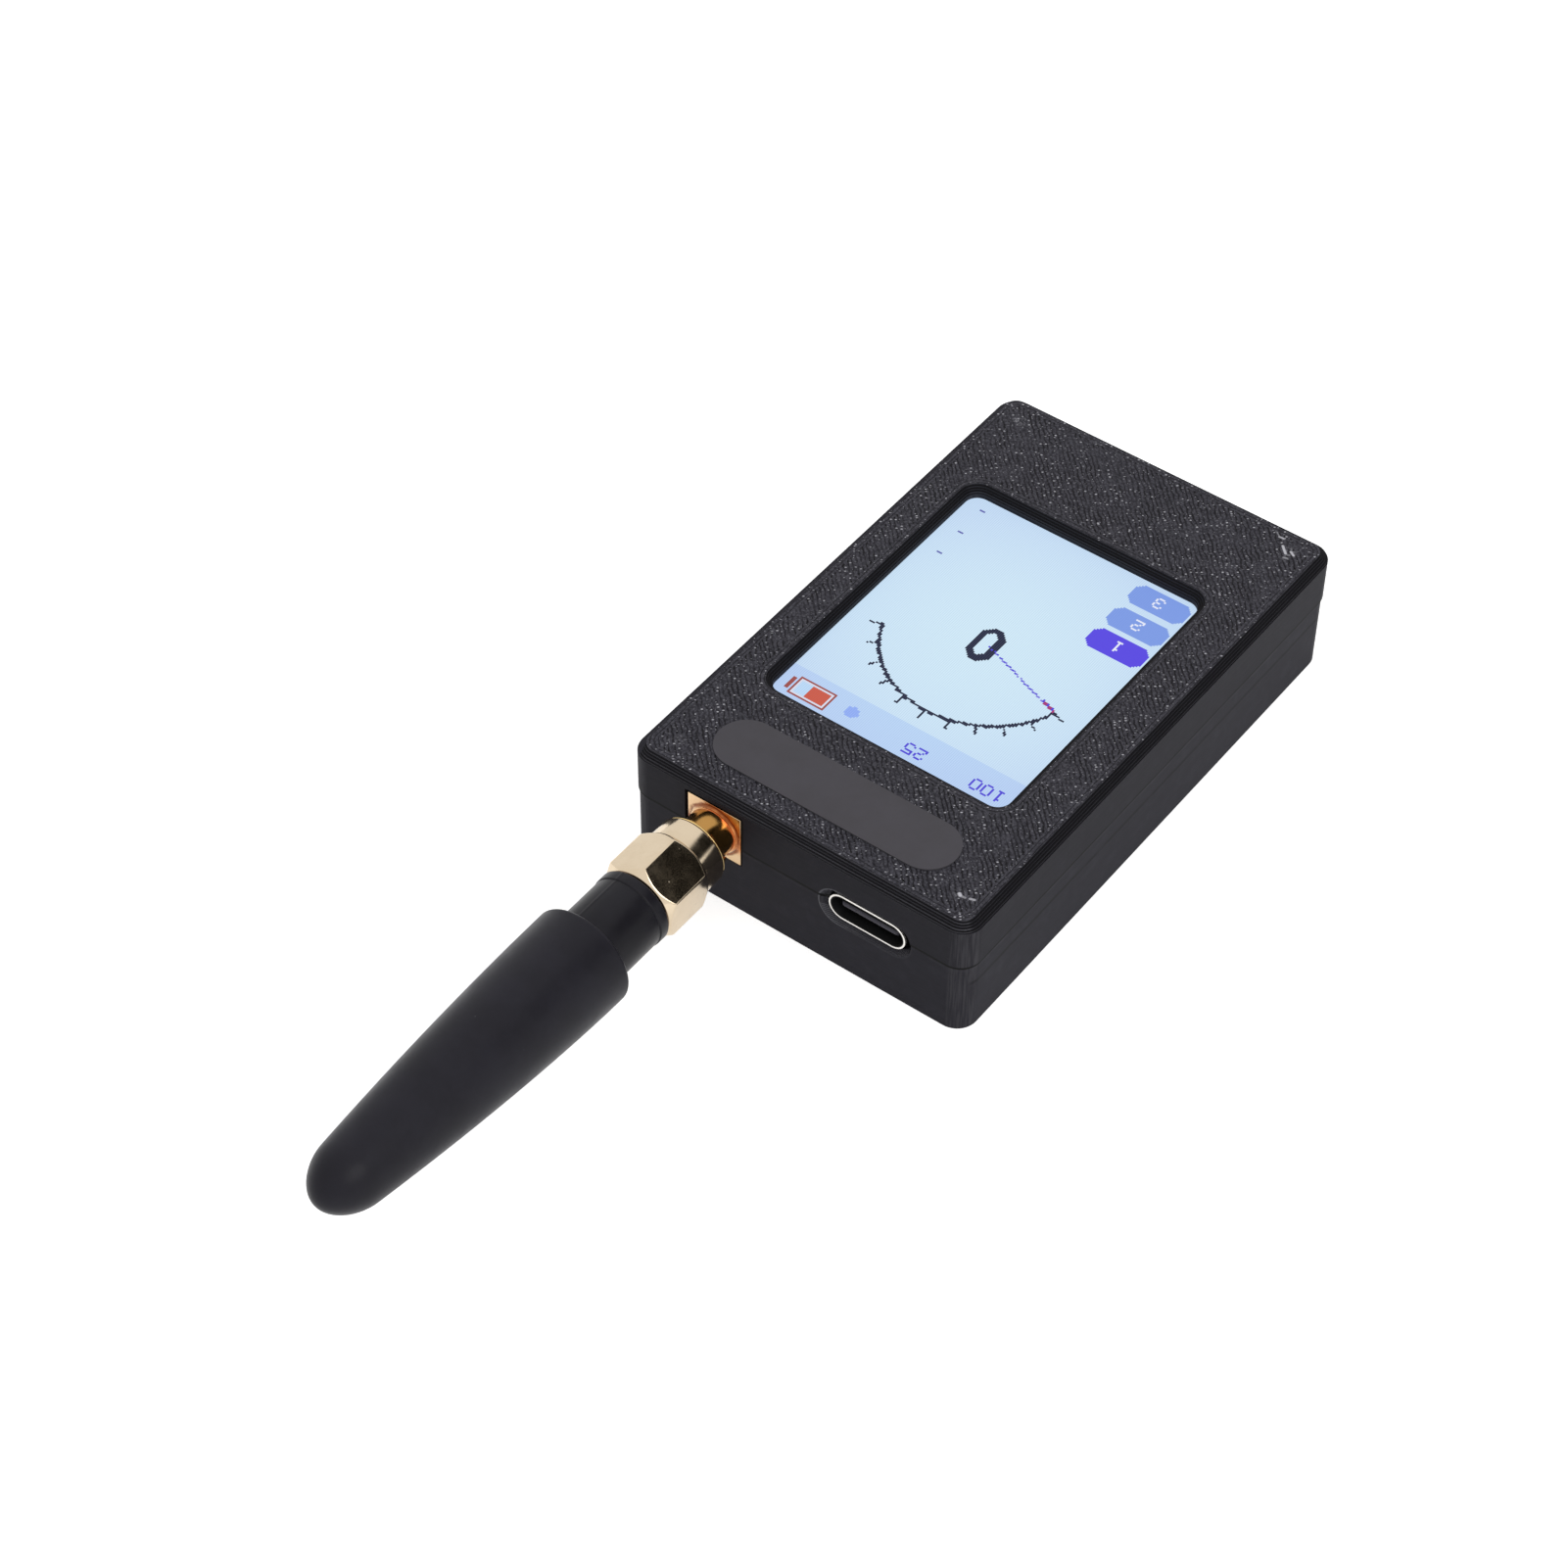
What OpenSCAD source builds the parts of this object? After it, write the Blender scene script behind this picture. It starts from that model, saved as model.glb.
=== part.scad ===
// Pocket field strength meter: a printed two-shell case with a colour display,
// a screw-on stub antenna, a charging port, a slide switch and a select button.
// Millimetres. The origin is the centre of the case's back face, +Z runs out through the screen,
// and the antenna points along -Y.

/* [Case] */
// Width of the case across the screen
case_w = 40.2; // [38.6:0.1:60]
// Length of the case without the antenna
case_l = 65.2; // [63:0.1:100]
// Thickness of the closed case
case_h = 14.8; // [12.3:0.1:24]
// Radius of the four upright corners
corner_r = 2.3; // [1.8:0.1:4]
// Thickness of the side walls
wall = 1.6; // [1.3:0.1:2]
// Thickness of the front wall around the window
face_t = 1.4; // [1.1:0.1:2]
// Thickness of the back wall
floor_t = 1.5; // [1:0.1:2]
// Depth of the front cover, from the front face down to the parting line
cover_depth = 6.1; // [5.2:0.1:7.4]
// How far the rear case stands in from the front cover
rear_inset = 0.1; // [0:0.05:0.2]
// Height of the shadow groove that runs round the parting line
seam_h = 0.12; // [0.08:0.02:0.3]
// Depth of the shadow groove
seam_depth = 0.3; // [0.1:0.05:0.4]
// Height and width of the stepped bevel round the front face
edge_bevel = 1; // [0.6:0.2:1.2]
// Height of one printed layer, which sets the steps of the bevels
layer_h = 0.2; // [0.1:0.05:0.4]
// Thickness of the locating lip on the rear case
lip_t = 0.7; // [0.5:0.05:0.9]
// Height of the locating lip
lip_h = 1; // [0.6:0.1:1.6]
// Clearance between the lip and its rebate
lip_gap = 0.12; // [0.05:0.01:0.2]

/* [Window] */
// Width of the display window
window_w = 28; // [22:0.1:29]
// Length of the display window
window_l = 35.6; // [29:0.1:37]
// Window centre across the case
window_x = -0.7; // [-1.2:0.1:1.2]
// Window centre along the case
window_y = 0.35; // [-2:0.05:2]
// Corner radius of the window
window_r = 1.5; // [0.8:0.1:3]
// Height and width of the window's stepped bevel
window_bevel = 0.8; // [0.4:0.2:1]

/* [Case screws] */
// Distance of each screw from the case's sides and ends
post_in = 3.6; // [3.4:0.1:5]
// Outer diameter of the screw posts
post_d = 5; // [4.2:0.1:6]
// Diameter of the pilot hole in the front cover's posts
pilot_d = 1.7; // [1.4:0.05:2]
// Diameter of the screw's core
screw_core_d = 1.6; // [1.3:0.05:1.9]
// Diameter of the screw's head
screw_head_d = 3.8; // [3:0.1:4.2]
// Height of the screw's head
screw_head_h = 1.3; // [0.8:0.1:1.8]
// Length of the screw under its head
screw_l = 9.5; // [7:0.5:10]
// Clearance round the screw's head and shank in the rear case
screw_gap = 0.2; // [0.1:0.05:0.4]
// Depth of the recess that the head sits in
head_recess = 2.2; // [1.8:0.1:3]

/* [Display] */
// Width of the display's glass
lcd_w = 34; // [30:0.1:34.6]
// Length of the display's glass
lcd_l = 45.8; // [42:0.1:46]
// Length of the lit area
active_l = 35.04; // [30:0.01:36]
// Border between the lit area and the glass edge at the antenna end
lcd_border = 2.8; // [2:0.1:3.4]
// Thickness of the glass
glass_t = 1; // [0.7:0.1:1.2]
// Thickness of the backlight
backlight_t = 1; // [0.7:0.1:1.2]
// Glass ledge that the flex is bonded to
lcd_ledge = 3.2; // [2.8:0.1:4]
// Gap between the glass and the front wall
lcd_gap = 0.05; // [0.02:0.01:0.2]
// Width of the display's flex
flex_w = 18; // [12:0.5:20]
// Thickness of the display's flex
flex_t = 0.12; // [0.08:0.01:0.2]

/* [Circuit board] */
// Thickness of the board
board_t = 1; // [0.8:0.1:1.2]
// Clearance between the board and the walls and posts
board_gap = 0.3; // [0.2:0.05:0.5]
// Clearance between the board and the stops that hold it
seat_gap = 0.05; // [0.02:0.01:0.1]

/* [Charging port] */
// Port centre across the case
port_x = 8.6; // [7:0.1:9.4]
// Width of the metal shell
port_w = 8.94; // [8.9:0.01:9]
// Height of the metal shell
port_h = 3.2; // [3.1:0.01:3.3]
// Length of the metal shell
port_l = 7.35; // [6.5:0.05:7.5]
// Thickness of the shell's sheet metal
port_sheet = 0.3; // [0.2:0.05:0.35]
// Width of the contact tongue
tongue_w = 6.69; // [6.5:0.01:6.8]
// Thickness of the contact tongue
tongue_t = 0.7; // [0.6:0.05:0.8]
// Distance of the tongue's tip behind the port's mouth
tongue_in = 0.4; // [0.3:0.1:1.5]
// Side of the corners cut off the tongue's tip
tongue_cut = 0.3; // [0.1:0.05:0.5]
// Clearance round the shell where it passes through the wall
port_gap = 0.15; // [0.1:0.05:0.3]
// Extra room at the shell's outer end
port_slack = 0.4; // [0:0.1:0.6]
// How far the funnel round the hole grows towards the case's face
port_flare = 0.6; // [0.6:0.05:0.8]
// How far the funnel leans towards the antenna and towards the back
port_lean = 0.5; // [0:0.05:0.5]
// Depth of the funnel
flare_depth = 0.5; // [0.3:0.05:0.8]

/* [Antenna socket] */
// Socket axis across the case
jack_x = -9.6; // [-10:0.1:-7]
// Side of the square flange
flange_w = 6.35; // [6:0.05:6.5]
// Thickness of the flange
flange_t = 1.7; // [1.4:0.05:2]
// Clearance round the flange in the case
flange_gap = 0.25; // [0.15:0.05:0.3]
// How far the flange's opening lies off the flange, away from the charging port
flange_shift = 0.12; // [0:0.02:0.14]
// Length of the barrel in front of the flange
barrel_l = 9.4; // [8.6:0.1:10]
// Core diameter of the barrel's thread
thread_core_d = 5.6; // [5.5:0.05:5.7]
// Outer diameter of the barrel's thread
thread_d = 6.2; // [6:0.05:6.35]
// Advance of the thread in one turn
thread_pitch = 0.7056; // [0.7:0.0001:0.71]
// Diameter of the plain neck behind the thread
neck_d = 5.2; // [4.9:0.05:5.4]
// Length of the plain neck
neck_l = 2.4; // [1.5:0.1:3]
// Diameter of the raised ring at the foot of the neck
ring_d = 5.9; // [5.6:0.1:6.2]
// Depth of the mouth that takes the plug's sleeve
mouth_depth = 1.98; // [1.8:0.01:2.2]
// Diameter of the solder pin and centre contact
contact_d = 1.2; // [1:0.05:1.3]
// Diameter of the insulator in the socket
insulator_d = 4.1; // [3.8:0.05:4.2]

/* [Coupling nut] */
// Distance of the nut's front edge from the case
nut_stand_off = 3.1; // [2.8:0.1:3.6]
// Length of the round sleeve at the nut's front
nut_sleeve_l = 2.65; // [2:0.05:3.2]
// Diameter of the round sleeve
nut_sleeve_d = 7.7; // [7.2:0.1:8]
// Length of the hexagon
hex_l = 6.45; // [5.5:0.05:7]
// Width of the hexagon across its flats
hex_af = 8; // [7.6:0.1:8.4]
// Turn of the hexagon about the antenna's axis
hex_turn = 25; // [0:1:60]
// Length of the chamfer at the hexagon's corners
hex_chamfer = 0.95; // [0.6:0.05:1.2]
// Thickness of the nut's rear lip, which holds the plug
nut_lip = 1.25; // [1:0.05:1.4]
// Radial running clearance of the nut and of the plug's sleeve
run_gap = 0.05; // [0.02:0.01:0.08]

/* [Antenna] */
// Diameter of the plug's sleeve, which enters the socket
plug_d = 4.56; // [4.5:0.01:4.6]
// Diameter of the plug's shank behind the nut's lip
shank_d = 5; // [4.6:0.1:5.2]
// Diameter of the centre pin
pin_d = 0.91; // [0.88:0.01:0.94]
// Reach of the centre pin past the plug's sleeve
pin_reach = 2.5; // [2.2:0.05:2.8]
// Diameter of the collar at the foot of the antenna
collar_d = 8.4; // [8.1:0.1:8.8]
// Length of the collar
collar_l = 0.85; // [0.6:0.05:1.2]
// Diameter of the antenna's bare neck
base_d = 8.04; // [7.6:0.1:8.3]
// Length of the antenna's bare neck, behind the collar
base_l = 6.7; // [5:0.1:9]
// Diameter of the tapered body at its thick end
body_d = 10.95; // [9.6:0.05:12]
// Length of the tapered body
body_l = 37.3; // [31:0.1:46]
// Loss of diameter along the tapered body, without its round tip
body_taper = 4.6; // [3:0.1:5]
// Length of the round tip
tip_l = 4.5; // [3:0.1:6]
// Wall of the tapered body round the spigot and the coil
body_wall = 2.15; // [1.6:0.05:2.4]
// Length of the spigot inside the tapered body
spigot_l = 7; // [5:0.5:9]
// Mean diameter of the wound wire
coil_d = 3.6; // [3:0.1:3.8]
// Thickness of the wound wire
wire_d = 0.7; // [0.5:0.05:0.8]
// Number of turns of the wound wire
coil_turns = 11; // [6:1:14]

/* [Controls] */
// Place of the slide switch along the case
switch_y = -8; // [-12:0.5:-4]
// Travel of the slide switch
switch_travel = 2; // [1.5:0.1:2.5]
// Length of the slide switch's knob
knob_l = 3; // [2.4:0.1:3.6]
// Height of the slide switch's knob
knob_h = 1.8; // [1.4:0.1:2]
// Depth of the finger recess round the knob
pocket_depth = 0.8; // [0.5:0.05:0.9]
// Place of the select button along the case
button_y = 9; // [5:0.5:13]
// Length of the select button's cap
button_l = 5; // [4:0.1:6]
// Height of the select button's cap
button_h = 2.4; // [2:0.1:2.6]
// Travel of the select button
button_travel = 0.35; // [0.2:0.05:0.4]
// How far the knob and the cap stand out of the side wall
control_out = 0.5; // [0.3:0.05:0.8]
// Clearance round the controls in the case
control_gap = 0.2; // [0.12:0.02:0.3]

/* [Battery] */
// Width of the pouch cell
battery_w = 30; // [24:0.5:31]
// Length of the pouch cell
battery_l = 40; // [34:0.5:41]
// Thickness of the pouch cell
battery_t = 4; // [3:0.1:4.3]
// Thickness of the sticky foam under the cell
pad_t = 0.5; // [0.3:0.1:0.8]
// Thickness of a battery lead
lead_d = 0.9; // [0.7:0.05:1]

/* [Label] */
// Length of the blank label under the window
label_w = 28; // [20:0.5:30]
// Height of the blank label
label_l = 6.6; // [5:0.1:7]
// Thickness of the blank label
label_t = 0.15; // [0.1:0.01:0.3]
// Distance of the label's centre from the antenna end of the case
label_in = 6.95; // [6:0.05:8]
// Label centre across the case
label_x = -0.2; // [-2:0.1:2]

/* [Hidden] */
$fn = 64;
eps = 0.01;
front_y = -case_l / 2;
split_z = case_h - cover_depth;
ceiling_z = case_h - face_t;
inner_w = case_w - 2 * wall;
inner_l = case_l - 2 * wall;
inner_r = max(corner_r - wall, 1);
post_x = case_w / 2 - post_in;
post_y = case_l / 2 - post_in;
glass_top = ceiling_z - lcd_gap;
glass_z = glass_top - glass_t;
board_top = glass_z - backlight_t;
board_z = board_top - board_t;
axis_z = board_z - contact_d / 2;
port_z = board_z - port_h / 2;
lcd_y = window_y - active_l / 2 - lcd_border;
lcd_end = lcd_y + lcd_l;
board_w = inner_w - 2 * board_gap;
board_front = front_y + max(flange_t, wall + seat_gap);
board_end = case_l / 2 - wall - board_gap;
switch_z = board_z - 0.7;
switch_back = -board_w / 2 + 2.9;
button_z = board_z - 0.85;
button_flange = 0.7;
tact_x = -board_w / 2 + 2.3;
tact_l = 4.6;
notch_l = button_l + 2.4;
pocket_l = knob_l + switch_travel + 2 * control_gap + 0.3;
pocket_h = knob_h + 0.6;
stem_l = 1.3;
stem_h = 0.8;
battery_z = floor_t + pad_t;
socket_x = post_x - post_d / 2 - 4.6;
socket_h = 3.2;
socket_end = 26.2;
plug_end = 27.6;
plug_z = board_z - socket_h / 2;
lead_pitch = 1.25;
lead_z = battery_z + 0.65 * battery_t;
lead_turn_r = (plug_z - lead_z) / 2;
nut_end = nut_stand_off + nut_sleeve_l + hex_l;
mouth_s = barrel_l - mouth_depth;
seal_s = barrel_l + 0.05;
seal_t = 0.65;
plug_flange_s = seal_s + seal_t + 0.05;
plug_flange_end = nut_end - nut_lip - 0.05;
base_s = nut_end + 0.15;
neck_s = base_s + collar_l;
body_s = neck_s + base_l;
spigot_d = body_d - 2 * body_wall;
cavity_d = coil_d + wire_d + 0.6;
shank_end = body_s - 1.6;
coil_s = body_s + spigot_l + 0.8;
coil_l = body_l - spigot_l - 0.8 - 9.5;
tip_s = body_s + body_l;

// A block with round upright corners, centred on the Z axis and standing on z = 0
module round_block(w, l, h, r) {
    translate([-w / 2 + r, -l / 2, 0]) cube([w - 2 * r, l, h]);
    translate([-w / 2, -l / 2 + r, 0]) cube([w, l - 2 * r, h]);
    for (sx = [-1, 1], sy = [-1, 1])
        translate([sx * (w / 2 - r), sy * (l / 2 - r), 0]) cylinder(r = r, h = h);
}

// A stack of printed layers from z = -bevel to z = 0, each one step_out wider or narrower
// than the last, as a sloping edge comes off the printer
module stepped_edge(w, l, r, bevel, step_out) {
    layers = round(bevel / layer_h);
    for (i = [0 : layers - 1]) {
        grow = step_out * bevel * (i + 0.5) / layers;
        translate([0, 0, -bevel + i * bevel / layers - (i == 0 ? eps : 0)])
            round_block(w + 2 * grow, l + 2 * grow, bevel / layers + (i == 0 ? eps : 0), r + grow);
    }
}

// A bar with two half-round ends, w wide along X and h high along Z, running l along +Y
module stadium_bar(w, h, l) {
    translate([-w / 2 + h / 2, 0, -h / 2]) cube([w - h, l, h]);
    for (sx = [-1, 1])
        translate([sx * (w - h) / 2, 0, 0]) rotate([-90, 0, 0]) cylinder(d = h, h = l);
}

// The charging port's hole and the shallow funnel round it, layer by layer as a printer builds it
module port_opening() {
    hole_w = port_w + 2 * port_gap + port_slack;
    hole_h = port_h + 2 * port_gap;
    corners = 5;
    past = 1.1;
    // Share of the funnel's depth that a layer reaches, z above the port's axis
    reach = function (z) min(past, z < 0
        ? 1 + (z + hole_h / 2) / (port_flare + port_lean)
        : 1 + (hole_h / 2 - z) / (port_flare - port_lean + eps));
    // Corner of a layer's outline at a share of the depth, on the -X or +X side
    corner = function (side, z, share) let (
            left = 1 - share,
            r = hole_h / 2 + port_flare * left,
            off = z + port_lean * left
        )
        [side * ((hole_w - hole_h) / 2 + sqrt(max(0, r * r - off * off))) - port_lean * left,
            flare_depth * share];
    first = floor((port_z - hole_h / 2 - port_flare - port_lean - split_z) / layer_h);
    last = ceil((port_z + hole_h / 2 + port_flare - split_z) / layer_h);
    translate([port_x + port_slack / 2, front_y, 0]) {
        translate([0, -eps, port_z]) stadium_bar(hole_w, hole_h, wall + 1);
        for (k = [first : last]) {
            z = split_z + (k + 0.5) * layer_h - port_z;
            deepest = reach(z);
            if (deepest > 0.05) translate([0, 0, split_z + k * layer_h]) linear_extrude(layer_h)
                polygon(concat(
                    [[corner(-1, z, 0).x, -1]],
                    [for (i = [0 : corners]) corner(-1, z, deepest * i / corners)],
                    [for (i = [corners : -1 : 0]) corner(1, z, deepest * i / corners)],
                    [[corner(1, z, 0).x, -1]]));
        }
    }
}

// The upright places of the four case screws
module at_posts() {
    for (sx = [-1, 1], sy = [-1, 1]) translate([sx * post_x, sy * post_y, 0]) children();
}

// The four places where the board is held between a stop and a pillar
module at_board_seats() {
    for (sx = [-1, 1]) {
        translate([sx * (post_x - 1), board_front + 6.9, 0]) children();
        translate([sx * (post_x - post_d / 2 - 1.9), board_end - 1.6, 0]) children();
    }
}

// The antenna's axis: local Z runs outward along -Y from the case's end face, local Y is up
module on_axis() {
    translate([jack_x, front_y, axis_z]) rotate([90, 0, 0]) children();
}

// A turned part on the antenna's axis, from its outline as [radius, distance] pairs
module turned(outline) {
    on_axis() rotate_extrude() polygon(outline);
}

// Everything that passes through the walls at the antenna end
module end_openings() {
    side = flange_w + 2 * flange_gap;
    translate([jack_x - flange_shift - side / 2, front_y - 1, axis_z - side / 2])
        cube([side, wall + 2, side]);
    port_opening();
}

// The slide switch's finger recess and slot, and the select button's hole
module side_openings() {
    translate([-case_w / 2 - 1, switch_y - pocket_l / 2, switch_z - pocket_h / 2])
        cube([1 + pocket_depth, pocket_l, pocket_h]);
    translate([-case_w / 2 - 1, switch_y - (stem_l + switch_travel) / 2 - control_gap, split_z - eps])
        cube([wall + 2, stem_l + switch_travel + 2 * control_gap,
            switch_z + stem_h / 2 + control_gap - split_z]);
    translate([-case_w / 2 - 1, button_y, button_z]) rotate([0, 0, -90])
        stadium_bar(button_l + 2 * control_gap, button_h + 2 * control_gap, wall + 2);
}

// The ring that the locating lip takes up, grown by gap on both sides
module lip_ring(gap, h) {
    difference() {
        round_block(inner_w + 2 * lip_t + 2 * gap, inner_l + 2 * lip_t + 2 * gap, h, inner_r + lip_t);
        translate([0, 0, -1]) round_block(inner_w - 2 * gap, inner_l - 2 * gap, h + 2, inner_r);
    }
}

module front_cover() {
    color([0.2, 0.2, 0.22]) difference() {
        union() {
            difference() {
                union() {
                    translate([0, 0, split_z]) round_block(case_w - 2 * seam_depth,
                        case_l - 2 * seam_depth, seam_h + eps, corner_r - seam_depth);
                    translate([0, 0, split_z + seam_h])
                        round_block(case_w, case_l, cover_depth - edge_bevel - seam_h, corner_r);
                    translate([0, 0, case_h])
                        stepped_edge(case_w, case_l, corner_r, edge_bevel, -1);
                }
                translate([0, 0, split_z - 1])
                    round_block(inner_w, inner_l, ceiling_z - split_z + 1, inner_r);
            }
            at_posts() translate([0, 0, split_z]) cylinder(d = post_d, h = ceiling_z - split_z + eps);
            at_board_seats() translate([-1.5, -1.3, board_top + seat_gap])
                cube([3, 2.6, ceiling_z - board_top - seat_gap + eps]);
        }
        translate([window_x, window_y, ceiling_z - 1])
            round_block(window_w, window_l, face_t + 2, window_r);
        translate([window_x, window_y, case_h + eps])
            stepped_edge(window_w, window_l, window_r, window_bevel, 1);
        translate([0, 0, split_z - eps]) lip_ring(lip_gap, lip_h + 0.1);
        at_posts() translate([0, 0, split_z - eps])
            cylinder(d = pilot_d, h = screw_l + head_recess - split_z + 0.8);
        end_openings();
        side_openings();
    }
}

module rear_case() {
    color([0.18, 0.18, 0.2]) difference() {
        union() {
            difference() {
                round_block(case_w - 2 * rear_inset, case_l - 2 * rear_inset, split_z, corner_r);
                translate([0, 0, floor_t]) round_block(inner_w, inner_l, split_z, inner_r);
            }
            translate([0, 0, split_z - 0.8]) lip_ring(0, lip_h + 0.8);
            at_posts() cylinder(d = post_d, h = split_z - seat_gap);
            at_board_seats() translate([-1.5, -1.3, floor_t - eps])
                cube([3, 2.6, board_z - seat_gap - floor_t + eps]);
            for (sy = [-1, 1])
                translate([-10, sy * (battery_l / 2 + 0.9) - 0.5, floor_t - eps]) cube([20, 1, 2]);
        }
        at_posts() {
            translate([0, 0, -1]) cylinder(d = screw_head_d + 2 * screw_gap, h = head_recess + 1);
            translate([0, 0, -1]) cylinder(d = 2 + 2 * screw_gap, h = split_z + 2);
        }
        end_openings();
        side_openings();
    }
}

module case_screws() {
    color([0.1, 0.1, 0.11]) at_posts() {
        translate([0, 0, head_recess - screw_head_h]) cylinder(d = screw_head_d, h = screw_head_h);
        translate([0, 0, head_recess - eps]) cylinder(d = screw_core_d, h = screw_l + eps);
    }
}

module blank_label() {
    color([0.31, 0.3, 0.32]) translate([label_x, front_y + label_in, case_h]) {
        translate([-(label_w - label_l) / 2, -label_l / 2, 0]) cube([label_w - label_l, label_l, label_t]);
        for (sx = [-1, 1])
            translate([sx * (label_w - label_l) / 2, 0, 0]) cylinder(d = label_l, h = label_t);
    }
}

module lcd_glass() {
    color([0.75, 0.85, 0.95]) translate([window_x - lcd_w / 2, lcd_y, glass_z])
        cube([lcd_w, lcd_l, glass_t]);
}

module lcd_backlight() {
    color([0.95, 0.95, 0.95]) translate([window_x - lcd_w / 2, lcd_y, board_top])
        cube([lcd_w, lcd_l - lcd_ledge, backlight_t]);
}

// The flex leaves the glass ledge, drops in an S-bend and lies on the board
module lcd_flex() {
    mid_hi = glass_z - flex_t / 2;
    mid_lo = board_top + flex_t / 2;
    bend_r = (mid_hi - mid_lo) / 2;
    start = lcd_end - lcd_ledge + 0.6;
    down = lcd_end + 0.3;
    side = function (o) concat(
        [[start, mid_hi + o]],
        [for (a = [90 : -15 : 0]) [down + (bend_r + o) * cos(a), mid_hi - bend_r + (bend_r + o) * sin(a)]],
        [for (a = [180 : 15 : 270])
            [down + 2 * bend_r + (bend_r - o) * cos(a), mid_hi - bend_r + (bend_r - o) * sin(a)]],
        [[down + 3.3, mid_lo + o]]);
    upper = side(flex_t / 2);
    lower = side(-flex_t / 2);
    color([0.8, 0.5, 0.2]) translate([window_x - flex_w / 2, 0, 0]) rotate([90, 0, 90])
        linear_extrude(flex_w)
            polygon(concat(upper, [for (i = [len(lower) - 1 : -1 : 0]) lower[i]]));
}

module main_board() {
    color([0.05, 0.25, 0.15]) difference() {
        translate([-board_w / 2, board_front, board_z])
            cube([board_w, board_end - board_front, board_t]);
        at_posts() translate([0, 0, board_z - 1]) cylinder(d = post_d + 2 * board_gap, h = board_t + 2);
        for (sx = [-1, 1], sy = [-1, 1])
            translate([sx * post_x + (sx < 0 ? -5 : 0), sy * post_y + (sy < 0 ? -5 : 0), board_z - 1])
                cube([5, 5, board_t + 2]);
        translate([-board_w / 2 - 1, button_y - notch_l / 2, board_z - 1])
            cube([3.3, notch_l, board_t + 2]);
        port_tabs(0.2, board_t + 1);
    }
}

// The shell's four solder tabs, grown by gap for their slots in the board
module port_tabs(gap, h) {
    for (sx = [-1, 1], y = [2.6, 6.2])
        translate([port_x + sx * (port_w / 2 - 0.15) - 0.15 - gap, front_y + y - 0.6 - gap, board_z - 1])
            cube([0.3 + 2 * gap, 1.2 + 2 * gap, h + 1]);
}

module microcontroller() {
    color([0.08, 0.08, 0.09]) translate([-5, 2, board_z - 0.9]) cube([7, 7, 0.9]);
}

// The folded metal can over the detector, open towards the board
module shield_can() {
    color([0.8, 0.8, 0.8]) translate([jack_x - 4, board_front + 6, board_z - 1.8]) difference() {
        cube([11, 9, 1.8]);
        translate([0.2, 0.2, 0.2]) cube([10.6, 8.6, 2]);
    }
}

module board_parts() {
    color([0.2, 0.18, 0.15]) {
        translate([port_x - 2, front_y + port_l + 2, board_z - 1]) cube([3, 3, 1]);
        translate([4, 4, board_z - 0.8]) cube([3.2, 2.5, 0.8]);
        translate([-14, 18, board_z - 1.2]) cube([2, 1.25, 1.2]);
        for (i = [0 : 5]) translate([-5 + 1.4 * i, 11, board_z - 0.5]) cube([0.6, 1.2, 0.5]);
        for (i = [0 : 3]) translate([port_x - 3 + 1.4 * i, front_y + port_l + 6, board_z - 0.5])
            cube([0.6, 1.2, 0.5]);
    }
}

module battery_socket() {
    color([0.93, 0.92, 0.86]) translate([socket_x - 2.5, socket_end - 4, board_z - socket_h])
        difference() {
            cube([5, 4, socket_h]);
            translate([0.35, 1, 0.25]) cube([4.3, 4, 2.7]);
        }
}

module battery_plug() {
    color([0.93, 0.92, 0.86]) translate([socket_x - 2, socket_end - 2.8, plug_z - 1.2])
        cube([4, plug_end - socket_end + 2.8, 2.4]);
}

// A lead runs from the cell under the socket, turns up in a half circle and enters the plug
module battery_lead(x) {
    y0 = battery_l / 2;
    translate([x, y0, lead_z]) rotate([-90, 0, 0]) cylinder(d = lead_d, h = plug_end - y0);
    translate([x, plug_end, lead_z + lead_turn_r]) rotate([0, 90, 0])
        intersection() {
            rotate_extrude() translate([lead_turn_r, 0]) circle(d = lead_d, $fn = 32);
            translate([-lead_turn_r - 2, 0, -2]) cube([2 * lead_turn_r + 4, lead_turn_r + 2, 4]);
        }
}

module battery_lead_red() {
    color([0.7, 0.05, 0.05]) battery_lead(socket_x - lead_pitch / 2);
}

module battery_lead_black() {
    color([0.05, 0.05, 0.05]) battery_lead(socket_x + lead_pitch / 2);
}

// A pouch with round long edges and the narrower protection board at its end
module battery_cell() {
    r = battery_t / 2;
    color([0.75, 0.76, 0.78]) translate([0, -battery_l / 2, battery_z + r]) {
        stadium_bar(battery_w, battery_t, battery_l - 3.5);
        translate([-battery_w / 2 + 2, battery_l - 3.5, -r + 0.4])
            cube([battery_w - 4, 3.5, battery_t - 0.8]);
    }
}

module battery_pad() {
    color([0.3, 0.3, 0.3]) translate([-battery_w / 2 + 4, -battery_l / 2 + 4, floor_t])
        cube([battery_w - 8, battery_l - 10, pad_t]);
}

module port_shell() {
    color([0.85, 0.85, 0.86]) {
        difference() {
            translate([port_x, front_y, port_z]) stadium_bar(port_w, port_h, port_l);
            translate([port_x, front_y - 1, port_z])
                stadium_bar(port_w - 2 * port_sheet, port_h - 2 * port_sheet, port_l + 2);
        }
        intersection() {
            port_tabs(0, board_t - 0.2);
            translate([port_x - port_w / 2, front_y, port_z]) cube([port_w, port_l, port_h]);
        }
    }
}

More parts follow.
